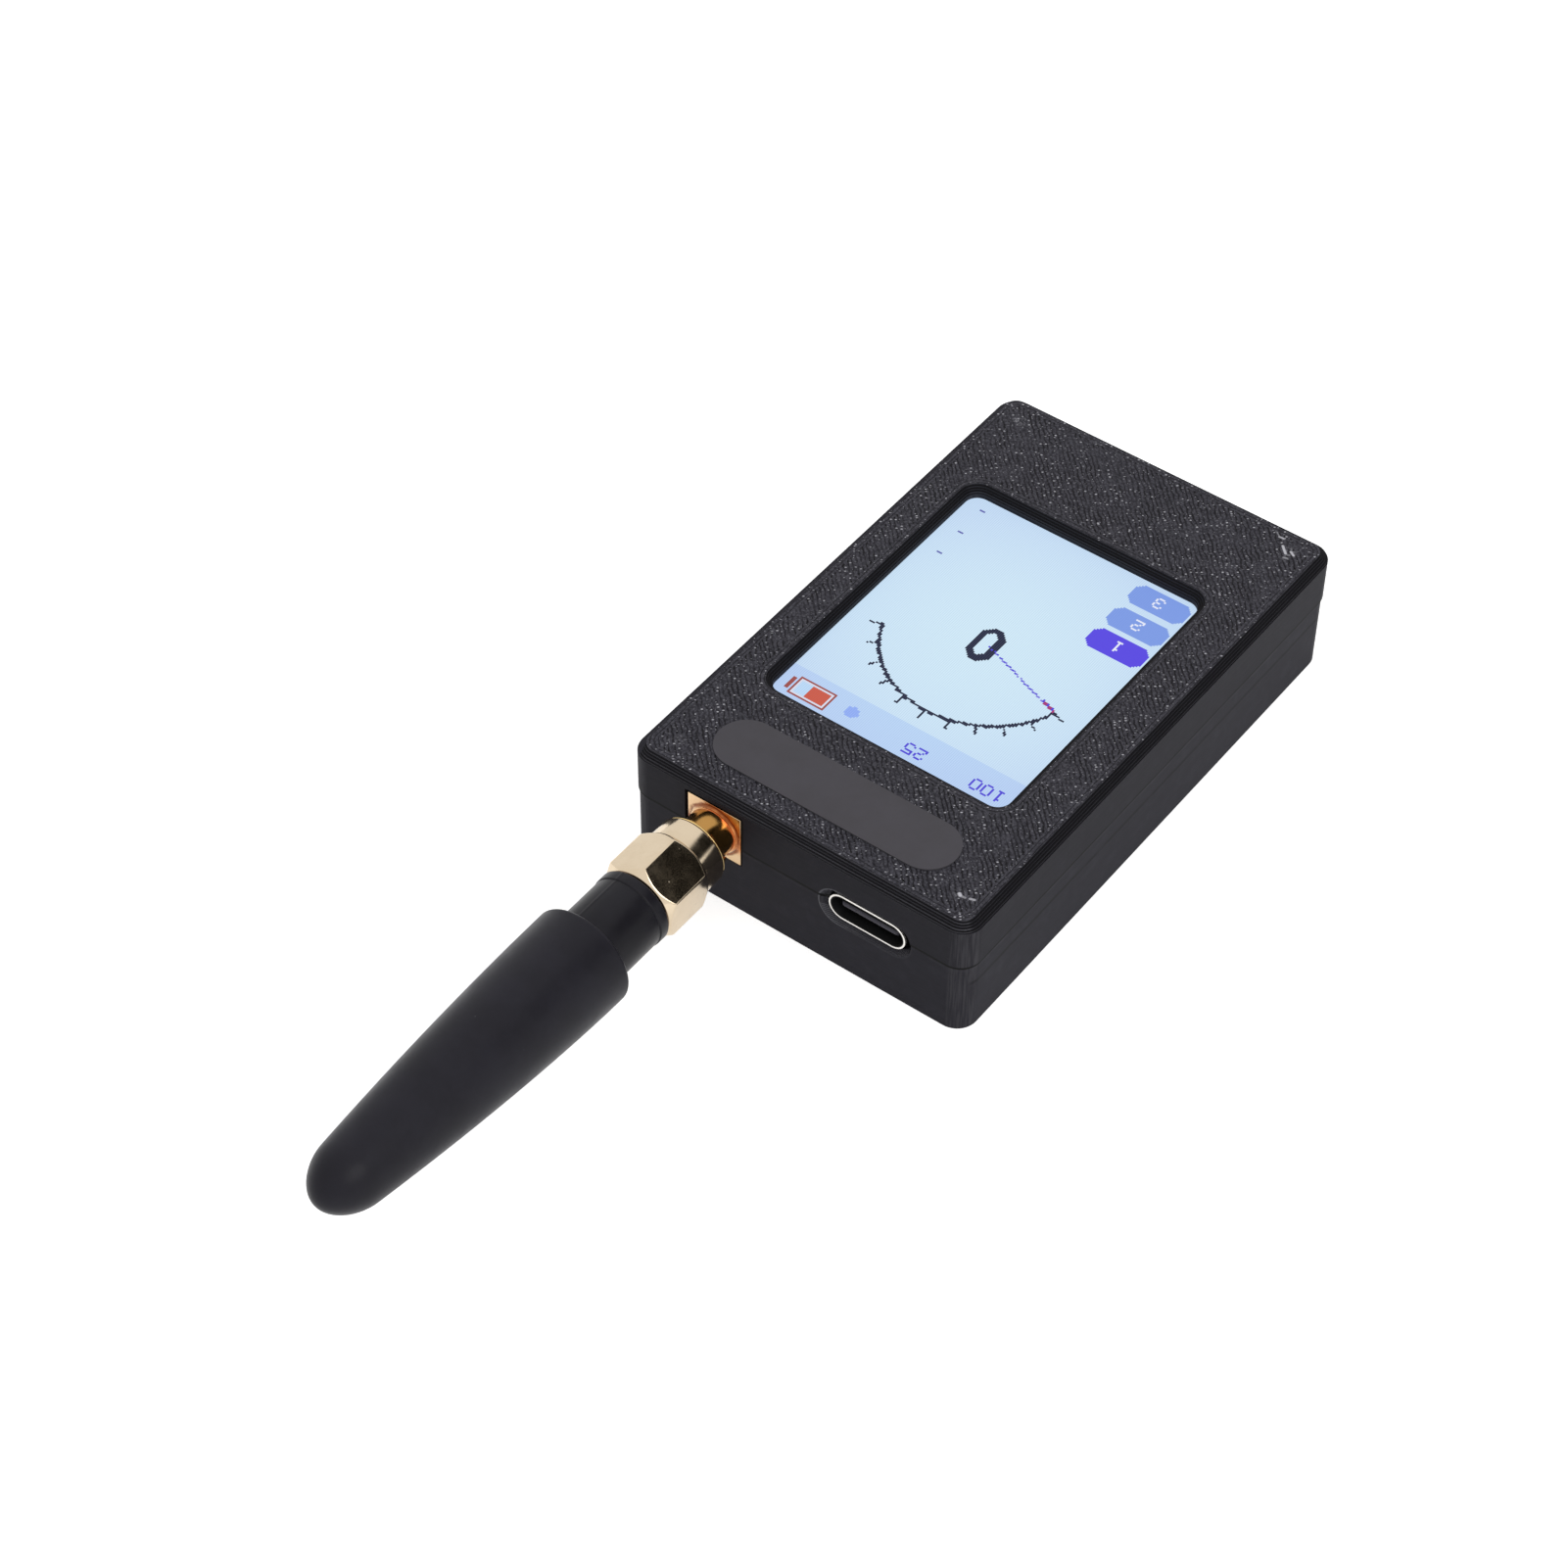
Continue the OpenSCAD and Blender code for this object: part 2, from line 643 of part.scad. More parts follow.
module port_tongue() {
    hole_w = port_w - 2 * port_sheet - 0.04;
    hole_h = port_h - 2 * port_sheet - 0.04;
    color([0.09, 0.09, 0.1]) {
        translate([port_x, front_y + port_l - 1.4, port_z]) stadium_bar(hole_w, hole_h, 1.4);
        difference() {
            translate([port_x - tongue_w / 2, front_y + tongue_in, port_z]) {
                translate([0, tongue_t / 2, -tongue_t / 2])
                    cube([tongue_w, port_l - tongue_in - tongue_t / 2 - 1, tongue_t]);
                translate([0, tongue_t / 2, 0]) rotate([0, 90, 0]) cylinder(d = tongue_t, h = tongue_w);
            }
            for (sx = [-1, 1])
                translate([port_x + sx * tongue_w / 2, front_y + tongue_in, port_z]) rotate([0, 0, 45])
                    cube([tongue_cut * sqrt(2), tongue_cut * sqrt(2), 2 * tongue_t], center = true);
        }
        translate([port_x - tongue_w / 2 - 0.3, front_y + port_l - 2.9, port_z - 0.6])
            cube([tongue_w + 0.6, 1.6, 1.2]);
    }
}

module antenna_jack() {
    core_r = thread_core_d / 2;
    bore_r = insulator_d / 2 + 0.02;
    mouth_r = plug_d / 2 + run_gap;
    leg = 1;
    color([0.9, 0.72, 0.42]) {
        difference() {
            union() {
                on_axis() translate([-flange_w / 2, -flange_w / 2, -flange_t])
                    cube([flange_w, flange_w, flange_t]);
                turned([[0, -0.2], [ring_d / 2, -0.2], [ring_d / 2, 0.1], [ring_d / 2 - 0.1, 0.2],
                    [neck_d / 2, 0.2], [neck_d / 2, neck_l], [core_r, neck_l + 0.2],
                    [core_r, barrel_l - 0.25], [core_r - 0.2, barrel_l], [0, barrel_l]]);
            }
            turned([[0, -flange_t - 1], [bore_r, -flange_t - 1], [bore_r, mouth_s], [mouth_r, mouth_s],
                [mouth_r, barrel_l - 0.1], [mouth_r + 0.1, barrel_l], [mouth_r + 0.1, barrel_l + 1],
                [0, barrel_l + 1]]);
        }
        for (sx = [-1, 1], z = [board_z - leg, board_top])
            translate([jack_x + sx * (flange_w / 2 - leg / 2) - leg / 2, front_y + flange_t - eps, z])
                cube([leg, 4.5, leg]);
    }
}

module jack_insulator() {
    r = insulator_d / 2;
    hole_r = contact_d / 2 + 0.06;
    color([0.95, 0.95, 0.92]) turned([[hole_r, -flange_t], [r, -flange_t], [r, mouth_s - 0.02],
        [hole_r, mouth_s - 0.02]]);
}

// The socket's centre contact: a solder tail under the board and two spring fingers at the mouth
module jack_contact() {
    r = contact_d / 2;
    bore_r = pin_d / 2 + 0.02;
    mouth = mouth_s - 0.1;
    color([0.9, 0.72, 0.42]) difference() {
        turned([[0, -flange_t - 4], [r, -flange_t - 4], [r, mouth], [bore_r, mouth],
            [bore_r, mouth - 3], [0, mouth - 3.2]]);
        on_axis() translate([-0.1, -2, mouth - 2]) cube([0.2, 4, 3]);
    }
}

module switch_body() {
    color([0.8, 0.8, 0.8]) difference() {
        translate([-board_w / 2 + 0.1, switch_y - 3.35, board_z - 1.4])
            cube([switch_back + board_w / 2 - 0.1, 6.7, 1.4]);
        translate([-board_w / 2 - 1, switch_y - (stem_l + switch_travel) / 2 - 0.1,
            switch_z - stem_h / 2 - 0.1])
            cube([2.7, stem_l + switch_travel + 0.2, stem_h + 0.2]);
    }
}

// The slide switch's moving piece: a stem through the slot and a ribbed knob in the finger recess
module power_slider() {
    y = switch_y - switch_travel / 2;
    knob_x = -case_w / 2 - control_out;
    knob_t = control_out + pocket_depth - 0.15;
    color([0.12, 0.12, 0.13]) {
        translate([knob_x + knob_t - eps, y - stem_l / 2, switch_z - stem_h / 2])
            cube([-board_w / 2 + 1.5 - knob_x - knob_t, stem_l, stem_h]);
        difference() {
            translate([knob_x, y - knob_l / 2, switch_z - knob_h / 2]) cube([knob_t, knob_l, knob_h]);
            for (i = [-1 : 1])
                translate([knob_x - 1, y + 0.75 * i - 0.15, switch_z - knob_h])
                    cube([1.25, 0.3, 2 * knob_h]);
        }
    }
}

module tact_switch() {
    color([0.75, 0.75, 0.76]) difference() {
        translate([tact_x, button_y - tact_l / 2, board_z - 1.7]) cube([3.3, tact_l, 1.7]);
        translate([tact_x - 1, button_y - 1, button_z - 0.6]) cube([2.3, 2, 1.2]);
    }
}

module tact_plunger() {
    color([0.1, 0.1, 0.1]) translate([tact_x - 0.8, button_y - 0.9, button_z - 0.5])
        cube([1.6, 1.8, 1]);
}

// The select button: a cap through the wall, a flange that keeps it in and a boss on the plunger
module select_button() {
    cap_x = -case_w / 2 - control_out;
    flange_x = -inner_w / 2 + 0.1;
    color([0.12, 0.12, 0.13]) translate([0, button_y, button_z]) {
        translate([cap_x, 0, 0]) rotate([0, 0, -90])
            stadium_bar(button_l, button_h, flange_x - cap_x + eps);
        translate([flange_x, -button_l / 2 - 0.8, -button_h / 2 - 0.4])
            cube([button_flange, button_l + 1.6, button_h + 0.8]);
        translate([flange_x + button_flange - eps, -1.2, -0.6])
            cube([tact_x - 0.8 - 0.02 - flange_x - button_flange + eps, 2.4, 1.2]);
    }
}

// The nut turns freely on the plug's shank: a round sleeve, a chamfered hexagon and a rear lip
module coupling_nut() {
    hex_s = nut_stand_off + nut_sleeve_l;
    sleeve_r = nut_sleeve_d / 2;
    corner = hex_af / sqrt(3);
    foot_r = corner - hex_chamfer;
    bore_r = thread_d / 2 + 0.1;
    color([0.9, 0.74, 0.48]) difference() {
        union() {
            turned([[0, nut_stand_off], [sleeve_r - 0.35, nut_stand_off], [sleeve_r, nut_stand_off + 0.35],
                [sleeve_r, hex_s + 0.5], [0, hex_s + 0.5]]);
            intersection() {
                on_axis() translate([0, 0, hex_s]) rotate(hex_turn)
                    cylinder(r = corner, h = hex_l, $fn = 6);
                turned([[0, hex_s], [foot_r, hex_s], [foot_r + hex_l / 2, hex_s + hex_l / 2],
                    [foot_r, nut_end], [0, nut_end]]);
            }
        }
        turned([[0, nut_stand_off - 1], [bore_r + 0.3, nut_stand_off - 1], [bore_r + 0.3, nut_stand_off],
            [bore_r, nut_stand_off + 0.3], [bore_r, nut_end - nut_lip],
            [shank_d / 2 + run_gap, nut_end - nut_lip], [shank_d / 2 + run_gap, nut_end + 1],
            [0, nut_end + 1]]);
    }
}

module seal_ring() {
    inner = plug_d / 2 + run_gap;
    outer = thread_d / 2;
    color([0.6, 0.1, 0.08]) turned([[inner, seal_s], [outer, seal_s], [outer, seal_s + seal_t],
        [inner, seal_s + seal_t]]);
}

// The plug's body: a sleeve that enters the socket, a flange that holds the nut and a long shank
module antenna_ferrule() {
    sleeve_r = plug_d / 2;
    flange_r = thread_d / 2 - 0.05;
    bore_r = 1.92;
    tip = mouth_s + 0.03;
    color([0.88, 0.7, 0.42]) turned([[bore_r, tip], [sleeve_r - 0.1, tip], [sleeve_r, tip + 0.1],
        [sleeve_r, plug_flange_s], [flange_r, plug_flange_s], [flange_r, plug_flange_end],
        [shank_d / 2, plug_flange_end], [shank_d / 2, shank_end], [bore_r, shank_end]]);
}

module antenna_insulator() {
    color([0.95, 0.95, 0.92]) turned([[pin_d / 2 + 0.02, mouth_s + 0.05], [1.9, mouth_s + 0.05],
        [1.9, shank_end], [pin_d / 2 + 0.02, shank_end]]);
}

module antenna_pin() {
    tip = mouth_s + 0.05 - pin_reach;
    r = pin_d / 2;
    color([0.9, 0.74, 0.48]) turned([[0, tip], [0.15, tip], [r, tip + 0.5], [r, body_s], [0, body_s]]);
}

// The moulded foot of the antenna: a collar, the bare neck and a spigot inside the tapered body
module antenna_base() {
    bore_r = shank_d / 2 + 0.02;
    color([0.09, 0.09, 0.1]) turned([[bore_r, base_s], [collar_d / 2 - 0.15, base_s],
        [collar_d / 2, base_s + 0.15], [collar_d / 2, neck_s - 0.1], [collar_d / 2 - 0.1, neck_s],
        [base_d / 2, neck_s], [base_d / 2, body_s - 0.02], [spigot_d / 2, body_s - 0.02],
        [spigot_d / 2, body_s + spigot_l], [1, body_s + spigot_l], [1, shank_end + 0.05],
        [bore_r, shank_end + 0.05]]);
}

// Radius of the tapered body at distance s from its thick end, with its round tip
function body_r(s) =
    let (
        taper = (body_d - body_taper * pow(s / body_l, 1.75)) / 2,
        into_tip = max(0, (s - body_l + tip_l) / tip_l)
    )
    taper * sqrt(max(0, 1 - into_tip * into_tip));

module antenna_sleeve() {
    edge = 0.45;
    rim = [for (a = [0 : 22.5 : 90]) [body_r(edge) - edge + edge * sin(a), body_s + edge - edge * cos(a)]];
    flank = [for (i = [1 : 12]) [body_r(edge + (body_l - tip_l - edge) * i / 12),
        body_s + edge + (body_l - tip_l - edge) * i / 12]];
    dome = [for (a = [12 : 12 : 84]) [body_r(body_l - tip_l + tip_l * sin(a)),
        body_s + body_l - tip_l + tip_l * sin(a)]];
    bore_r = spigot_d / 2 + 0.02;
    cavity_end = coil_s + coil_l + 1;
    inside = [[0, cavity_end + 2], [cavity_d / 2, cavity_end], [cavity_d / 2, body_s + spigot_l + 0.05],
        [bore_r, body_s + spigot_l + 0.05], [bore_r, body_s]];
    color([0.08, 0.08, 0.09]) turned(concat(rim, flank, dome, [[0, tip_s]], inside));
}

// The radiator: a straight lead on the axis that opens into a wound spring
module antenna_coil() {
    sides = 6;
    step = 16;
    lead = 0.8;
    r = wire_d / 2;
    turns = coil_turns + 0.5;
    last = turns * step;
    // Centre of the wire after i steps: it opens to the full diameter in the first half turn
    centre = function (i) let (a = 360 * i / step, open = min(1, 2 * i / step))
        [coil_d / 2 * open * cos(a), coil_d / 2 * open * sin(a), coil_s + coil_l * i / last];
    path = concat([[0, 0, body_s + 0.05], [0, 0, body_s + 3], [0, 0, body_s + 6], [0, 0, coil_s - lead]],
        [for (i = [0 : last]) centre(i)]);
    n = len(path);
    unit = function (v) v / norm(v);
    along = function (k) unit(path[min(k + 1, n - 1)] - path[max(k - 1, 0)]);
    ring = function (k) let (
            t = along(k),
            out = k < 4 ? [1, 0, 0] : [cos(360 * (k - 4) / step), sin(360 * (k - 4) / step), 0],
            u = unit(out - (out * t) * t),
            v = cross(t, u)
        )
        [for (j = [0 : sides - 1]) path[k] + r * cos(360 * j / sides) * u + r * sin(360 * j / sides) * v];
    points = [for (k = [0 : n - 1]) each ring(k)];
    skin = [for (k = [0 : n - 2], j = [0 : sides - 1]) let (m = (j + 1) % sides)
        [k * sides + j, (k + 1) * sides + j, (k + 1) * sides + m, k * sides + m]];
    ends = [[for (j = [0 : sides - 1]) j], [for (j = [sides - 1 : -1 : 0]) (n - 1) * sides + j]];
    color([0.75, 0.55, 0.3]) on_axis() polyhedron(points = points, faces = concat(skin, ends));
}

front_cover();
rear_case();
case_screws();
blank_label();
lcd_glass();
lcd_backlight();
lcd_flex();
main_board();
microcontroller();
shield_can();
board_parts();
battery_socket();
battery_plug();
battery_lead_red();
battery_lead_black();
battery_cell();
battery_pad();
port_shell();
port_tongue();
antenna_jack();
jack_insulator();
jack_contact();
switch_body();
power_slider();
tact_switch();
tact_plunger();
select_button();
coupling_nut();
seal_ring();
antenna_ferrule();
antenna_insulator();
antenna_pin();
antenna_base();
antenna_sleeve();
antenna_coil();
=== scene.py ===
# %% [markdown]
# # A pocket field strength meter, finished in Blender
# The CAD frame holds every piece at its real size. This notebook gives those pieces their finishes
# and adds what is too fine for CAD: the lit picture on the display, the rolled thread on the
# antenna socket, the cross-head case screws, the port's contacts and the moulding seam.
# Lengths are written in millimetres and multiplied by MM, because Blender's unit here is the metre.

# %% Load the frame
import math

import bmesh
import bpy
from mathutils import Matrix, Vector


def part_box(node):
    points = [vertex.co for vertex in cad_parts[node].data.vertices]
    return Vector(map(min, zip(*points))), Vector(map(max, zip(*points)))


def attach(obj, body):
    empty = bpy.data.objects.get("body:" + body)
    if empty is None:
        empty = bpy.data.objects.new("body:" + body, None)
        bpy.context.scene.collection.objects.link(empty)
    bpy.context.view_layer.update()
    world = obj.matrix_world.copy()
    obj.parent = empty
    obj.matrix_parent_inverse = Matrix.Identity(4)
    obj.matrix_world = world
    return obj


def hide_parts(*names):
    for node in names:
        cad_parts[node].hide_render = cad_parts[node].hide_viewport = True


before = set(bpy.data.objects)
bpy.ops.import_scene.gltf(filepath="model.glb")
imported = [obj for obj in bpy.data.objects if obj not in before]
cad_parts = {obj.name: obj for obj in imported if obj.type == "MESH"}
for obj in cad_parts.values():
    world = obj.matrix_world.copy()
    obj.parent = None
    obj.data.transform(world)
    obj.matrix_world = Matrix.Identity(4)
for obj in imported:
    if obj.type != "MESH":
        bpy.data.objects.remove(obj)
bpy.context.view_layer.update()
MM = 0.001


def corners(node):
    """Lowest and highest corner of a CAD node, in millimetres."""
    low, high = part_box(node)
    return low / MM, high / MM


def add_object(name, data):
    """A mesh, a lamp or a camera, placed in the scene."""
    thing = bpy.data.objects.new(name, data)
    bpy.context.scene.collection.objects.link(thing)
    return thing


cover_low, cover_high = corners("front_cover")
case_w = cover_high.x - cover_low.x
case_l = cover_high.y - cover_low.y
case_h = cover_high.z
front_y = cover_low.y

print(f"case {case_w:.1f} x {case_l:.1f} x {case_h:.1f} mm, {len(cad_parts)} nodes")

# %% [markdown]
# ## Camera
# A long lens from the front right, well above the table. Its place and its axes were found by
# fitting a pinhole camera to the straight edges of the case. A camera looks along its own -Z axis,
# so its three axes are built from the viewing direction and the upward direction.

# %% Place the camera
CAMERA_AT = Vector((149.7, -237.6, 293.3)) * MM
LOOKING = Vector((-0.4054, 0.5504, -0.7299)).normalized()
UPWARD = Vector((-0.4411, 0.5815, 0.6836))
LENS_MM = 91.6

rightward = LOOKING.cross(UPWARD).normalized()
upward = rightward.cross(LOOKING)
camera = add_object("camera", bpy.data.cameras.new("camera"))
camera.matrix_world = Matrix.Translation(CAMERA_AT) @ Matrix(
    (rightward, upward, -LOOKING)).transposed().to_4x4()
camera.data.lens = LENS_MM
camera.data.sensor_width = 36
camera.data.clip_start = 10 * MM
bpy.context.scene.camera = camera
bpy.context.scene.view_settings.view_transform = "Standard"
print(f"camera {CAMERA_AT.length:.3f} m from the case's centre")

# %% [markdown]
# ## Wiring nodes in few words
# Shader trees and geometry trees are both boxes joined by wires. This small class adds a box, fills
# or connects its sockets and hands back an output, so that a formula reads from left to right.

# %% A helper that wires nodes
class Wiring:
    def __init__(self, tree):
        self.tree = tree

    def plug(self, value, socket):
        if isinstance(value, bpy.types.NodeSocket):
            self.tree.links.new(value, socket)
        else:
            socket.default_value = value

    def node(self, kind, plugs=None, **settings):
        made = self.tree.nodes.new(kind)
        for name, value in settings.items():
            setattr(made, name, value)
        for key, value in (plugs or {}).items():
            self.plug(value, made.inputs[key])
        return made

    def shape(self, kind, plugs=None, **settings):
        """A geometry node, by its name without the prefix: hands back its first output."""
        return self.node("GeometryNode" + kind, plugs, **settings).outputs[0]

    def joined(self, *parts):
        """Several pieces of geometry as one."""
        made = self.node("GeometryNodeJoinGeometry")
        for part in parts:
            self.plug(part, made.inputs[0])
        return made.outputs[0]

    def math(self, operation, a, b=0.0, c=0.0):
        made = self.node("ShaderNodeMath", {0: a, 1: b, 2: c}, operation=operation)
        return made.outputs[0]

    def plus(self, a, b):
        return self.math("ADD", a, b)

    def minus(self, a, b):
        return self.math("SUBTRACT", a, b)

    def times(self, a, b):
        return self.math("MULTIPLY", a, b)

    def over(self, a, b):
        return self.math("DIVIDE", a, b)

    def larger(self, a, b):
        return self.math("MAXIMUM", a, b)

    def smaller(self, a, b):
        return self.math("MINIMUM", a, b)

    def absolute(self, a):
        """The value without its sign."""
        return self.math("ABSOLUTE", a)

    def line(self, a, slope, start):
        return self.math("MULTIPLY_ADD", a, slope, start)

    def hypot(self, a, b):
        """How long the diagonal of two sides is."""
        return self.math("SQRT", self.plus(self.times(a, a), self.times(b, b)))

    def smooth(self, value, low, high, start=0.0, end=1.0):
        """A value that eases from start, at low, to end, at high."""
        made = self.node("ShaderNodeMapRange", {0: value, 1: low, 2: high, 3: start, 4: end},
                         interpolation_type="SMOOTHSTEP")
        return made.outputs[0]

    def fade(self, value, low, high):
        """1 up to low, 0 from high on."""
        return self.smooth(value, low, high, 1.0, 0.0)

    def tint(self, factor, a, b):
        """Colour a where factor is 0 and colour b where it is 1."""
        made = self.node("ShaderNodeMix", {0: factor, 6: a, 7: b}, data_type="RGBA")
        return made.outputs[2]

    def scaled(self, vector, by):
        made = self.node("ShaderNodeVectorMath", {0: vector, 1: by}, operation="MULTIPLY")
        return made.outputs[0]

    def split(self, vector):
        return self.node("ShaderNodeSeparateXYZ", {0: vector}).outputs[:]

    def join(self, x, y, z):
        return self.node("ShaderNodeCombineXYZ", {0: x, 1: y, 2: z}).outputs[0]

    def normal(self):
        """The way that the surface faces, in the object's own axes."""
        return self.node("ShaderNodeTexCoord").outputs["Normal"]

    def noise(self, vector, scale, detail=2.0, roughness=0.5):
        made = self.node("ShaderNodeTexNoise", {
            "Vector": vector, "Scale": scale, "Detail": detail, "Roughness": roughness})
        return made.outputs["Fac"]

    def scatter(self, vector, spacing, dimensions="3D"):
        """Scattered points: the distance to the nearest one, and its three random numbers."""
        made = self.node("ShaderNodeTexVoronoi", {
            "Vector": vector, "Scale": self.over(1.0, spacing), "Randomness": 1.0},
            voronoi_dimensions=dimensions).outputs
        return self.times(made["Distance"], spacing), self.split(made["Color"])


def srgb(red, green, blue):
    """A colour picked on screen, 0 to 255, as the linear light that shaders use."""
    def linear(level):
        level = level / 255
        return level / 12.92 if level <= 0.04045 else ((level + 0.055) / 1.055) ** 2.4
    return (linear(red), linear(green), linear(blue), 1.0)


def new_group(name, inputs, outputs):
    """An empty shader group with named float or vector inputs and float outputs."""
    tree = bpy.data.node_groups.new(name, "ShaderNodeTree")
    for label, value in inputs.items():
        kind = "NodeSocketVector" if value is None else "NodeSocketFloat"
        socket = tree.interface.new_socket(name=label, in_out="INPUT", socket_type=kind)
        if value is not None:
            socket.default_value = value
    for label in outputs:
        tree.interface.new_socket(name=label, in_out="OUTPUT", socket_type="NodeSocketFloat")
    wiring = Wiring(tree)
    source = wiring.node("NodeGroupInput").outputs
    result = wiring.node("NodeGroupOutput").inputs
    return tree, wiring, source, result


def use_group(wiring, tree, **plugs):
    """One copy of a group inside a material, with its named inputs filled."""
    made = wiring.node("ShaderNodeGroup", node_tree=tree)
    for label, value in plugs.items():
        wiring.plug(value, made.inputs[label.replace("_", " ")])
    return made.outputs


def new_material(name, **constants):
    """A material with its Principled shader, its wiring and the object's own coordinates in mm."""
    material = bpy.data.materials.new(name)
    material.use_nodes = True
    wiring = Wiring(material.node_tree)
    shader = material.node_tree.nodes["Principled BSDF"]
    for label, value in constants.items():
        shader.inputs[label.replace("_", " ")].default_value = value
    own = wiring.node("ShaderNodeTexCoord").outputs["Object"]
    return material, wiring, shader, wiring.scaled(own, (1 / MM, 1 / MM, 1 / MM))


def bump(wiring, shader, height, depth_mm):
    """Sends a height of 0 to 1 to the shader as a relief depth_mm deep."""
    made = wiring.node("ShaderNodeBump", {"Height": height, "Distance": depth_mm * MM})
    wiring.plug(made.outputs["Normal"], shader.inputs["Normal"])


def coat_node(node, material):
    """Gives a CAD node its finish."""
    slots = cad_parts[node].data.materials
    if len(slots) == 0:
        slots.append(material)
    for index in range(len(slots)):
        slots[index] = material


print("wiring helpers are ready")

# %% [markdown]
# ## Studio
# The set, whose sizes are in metres, is a plain white table with big soft lights: one behind to
# the left, one to the right, one overhead, and one above the camera's right shoulder, the only one
# that polished edges mirror. Polished metal shows the room, so the picture needs something dark in
# it: a black card, as a product photographer would hang, that only reflections can see. The table
# and the world are white to the eye and in reflections, and dimmer for the light that they throw
# on the object.

# %% Build the table, the lights and the black card
def ray_kinds(w):
    """Masks of the rays by which a surface is seen at all, and of those that come off a gloss."""
    rays = w.node("ShaderNodeLightPath").outputs
    seen = w.larger(rays["Is Camera Ray"], rays["Is Glossy Ray"])
    return w.larger(seen, rays["Is Transmission Ray"]), rays["Is Glossy Ray"]


def floor_material():
    material, w, shader, place = new_material("table_white", Roughness=0.9, Specular_IOR_Level=0.1)
    grain = w.noise(place, 0.02, 3.0)
    shade = w.tint(grain, (0.80, 0.80, 0.80, 1), (0.82, 0.82, 0.82, 1))
    w.plug(shade, shader.inputs["Base Color"])
    seen, mirrored = ray_kinds(w)
    w.plug((1, 1, 1, 1), shader.inputs["Emission Color"])
    glow = w.line(mirrored, -0.12, w.times(seen, 0.6))
    w.plug(glow, shader.inputs["Emission Strength"])
    return material


def flat_sheet(name, half_w, half_h, material):
    mesh = bpy.data.meshes.new(name)
    mesh.from_pydata([(-half_w, -half_h, 0), (half_w, -half_h, 0), (half_w, half_h, 0),
                      (-half_w, half_h, 0)], [], [(0, 1, 2, 3)])
    mesh.materials.append(material)
    return add_object(name, mesh)


def aim(thing, place, target):
    direction = Vector(target) - Vector(place)
    thing.location = place
    thing.rotation_euler = direction.to_track_quat("-Z", "Y").to_euler()


LIT_POINT = (0, -0.02, 0)


def add_softbox(name, place, size, watts, mirrored):
    lamp = bpy.data.lights.new(name, "AREA")
    lamp.shape = "RECTANGLE"
    lamp.size, lamp.size_y = size
    lamp.energy = watts
    box = add_object(name, lamp)
    box.visible_glossy = mirrored
    aim(box, place, LIT_POINT)


def card_material(half_w, half_h):
    """Black flock whose edge fades to the white of the room."""
    material, w, shader, place = new_material("card_black", Roughness=1.0, Specular_IOR_Level=0.0)
    flock = w.noise(place, 0.05)
    w.plug(w.tint(flock, (0.010, 0.010, 0.009, 1), (0.020, 0.018, 0.016, 1)),
           shader.inputs["Base Color"])
    x, y, z = w.split(place)
    across = w.over(w.absolute(x), half_w / MM)
    along = w.over(w.absolute(y), half_h / MM)
    w.plug((1, 1, 1, 1), shader.inputs["Emission Color"])
    edge = w.smooth(w.larger(across, along), 0.72, 1.0)
    w.plug(edge, shader.inputs["Emission Strength"])
    return material


def add_black_card(where, size, target):
    half_w, half_h = size[0] / 2, size[1] / 2
    card = flat_sheet("black_card", half_w, half_h, card_material(half_w, half_h))
    aim(card, where, target)
    for kind in ("camera", "diffuse", "shadow", "transmission", "volume_scatter"):
        setattr(card, "visible_" + kind, False)


def light_world(fill):
    """White to the eye and in reflections, and a dimmer, even fill for everything else."""
    world = bpy.data.worlds.new("studio")
    bpy.context.scene.world = world
    world.use_nodes = True
    w = Wiring(world.node_tree)
    back = world.node_tree.nodes["Background"]
    seen = ray_kinds(w)[0]
    w.plug(w.smooth(seen, 0.0, 1.0, fill, 1.0), back.inputs["Strength"])
    back.inputs["Color"].default_value = (1, 1, 1, 1)


TABLE_HALF, WORLD_FILL = 3.0, 0.45
CARD_AT, CARD_SIZE, CARD_FACES = (0.40, 0.38, 0.46), (0.62, 0.50), (0, -0.04, 0.01)
# name, place and size in metres, watts, whether glossy surfaces mirror it
SOFTBOXES = (
    ("softbox_left", (-0.70, 0.52, 0.50), (0.7, 0.5), 3.9, False),
    ("softbox_right", (0.85, -0.20, 0.45), (0.5, 0.5), 1.1, False),
    ("softbox_top", (0.05, 0.0, 1.0), (0.6, 0.6), 1.4, False),
    ("softbox_front", (0.63, -0.21, 0.75), (0.5, 0.5), 2.4, True))

table = flat_sheet("table", TABLE_HALF, TABLE_HALF, floor_material())
light_world(WORLD_FILL)
for softbox in SOFTBOXES:
    add_softbox(*softbox)
add_black_card(CARD_AT, CARD_SIZE, CARD_FACES)
print("studio: table,", len(SOFTBOXES), "softboxes, one black card")
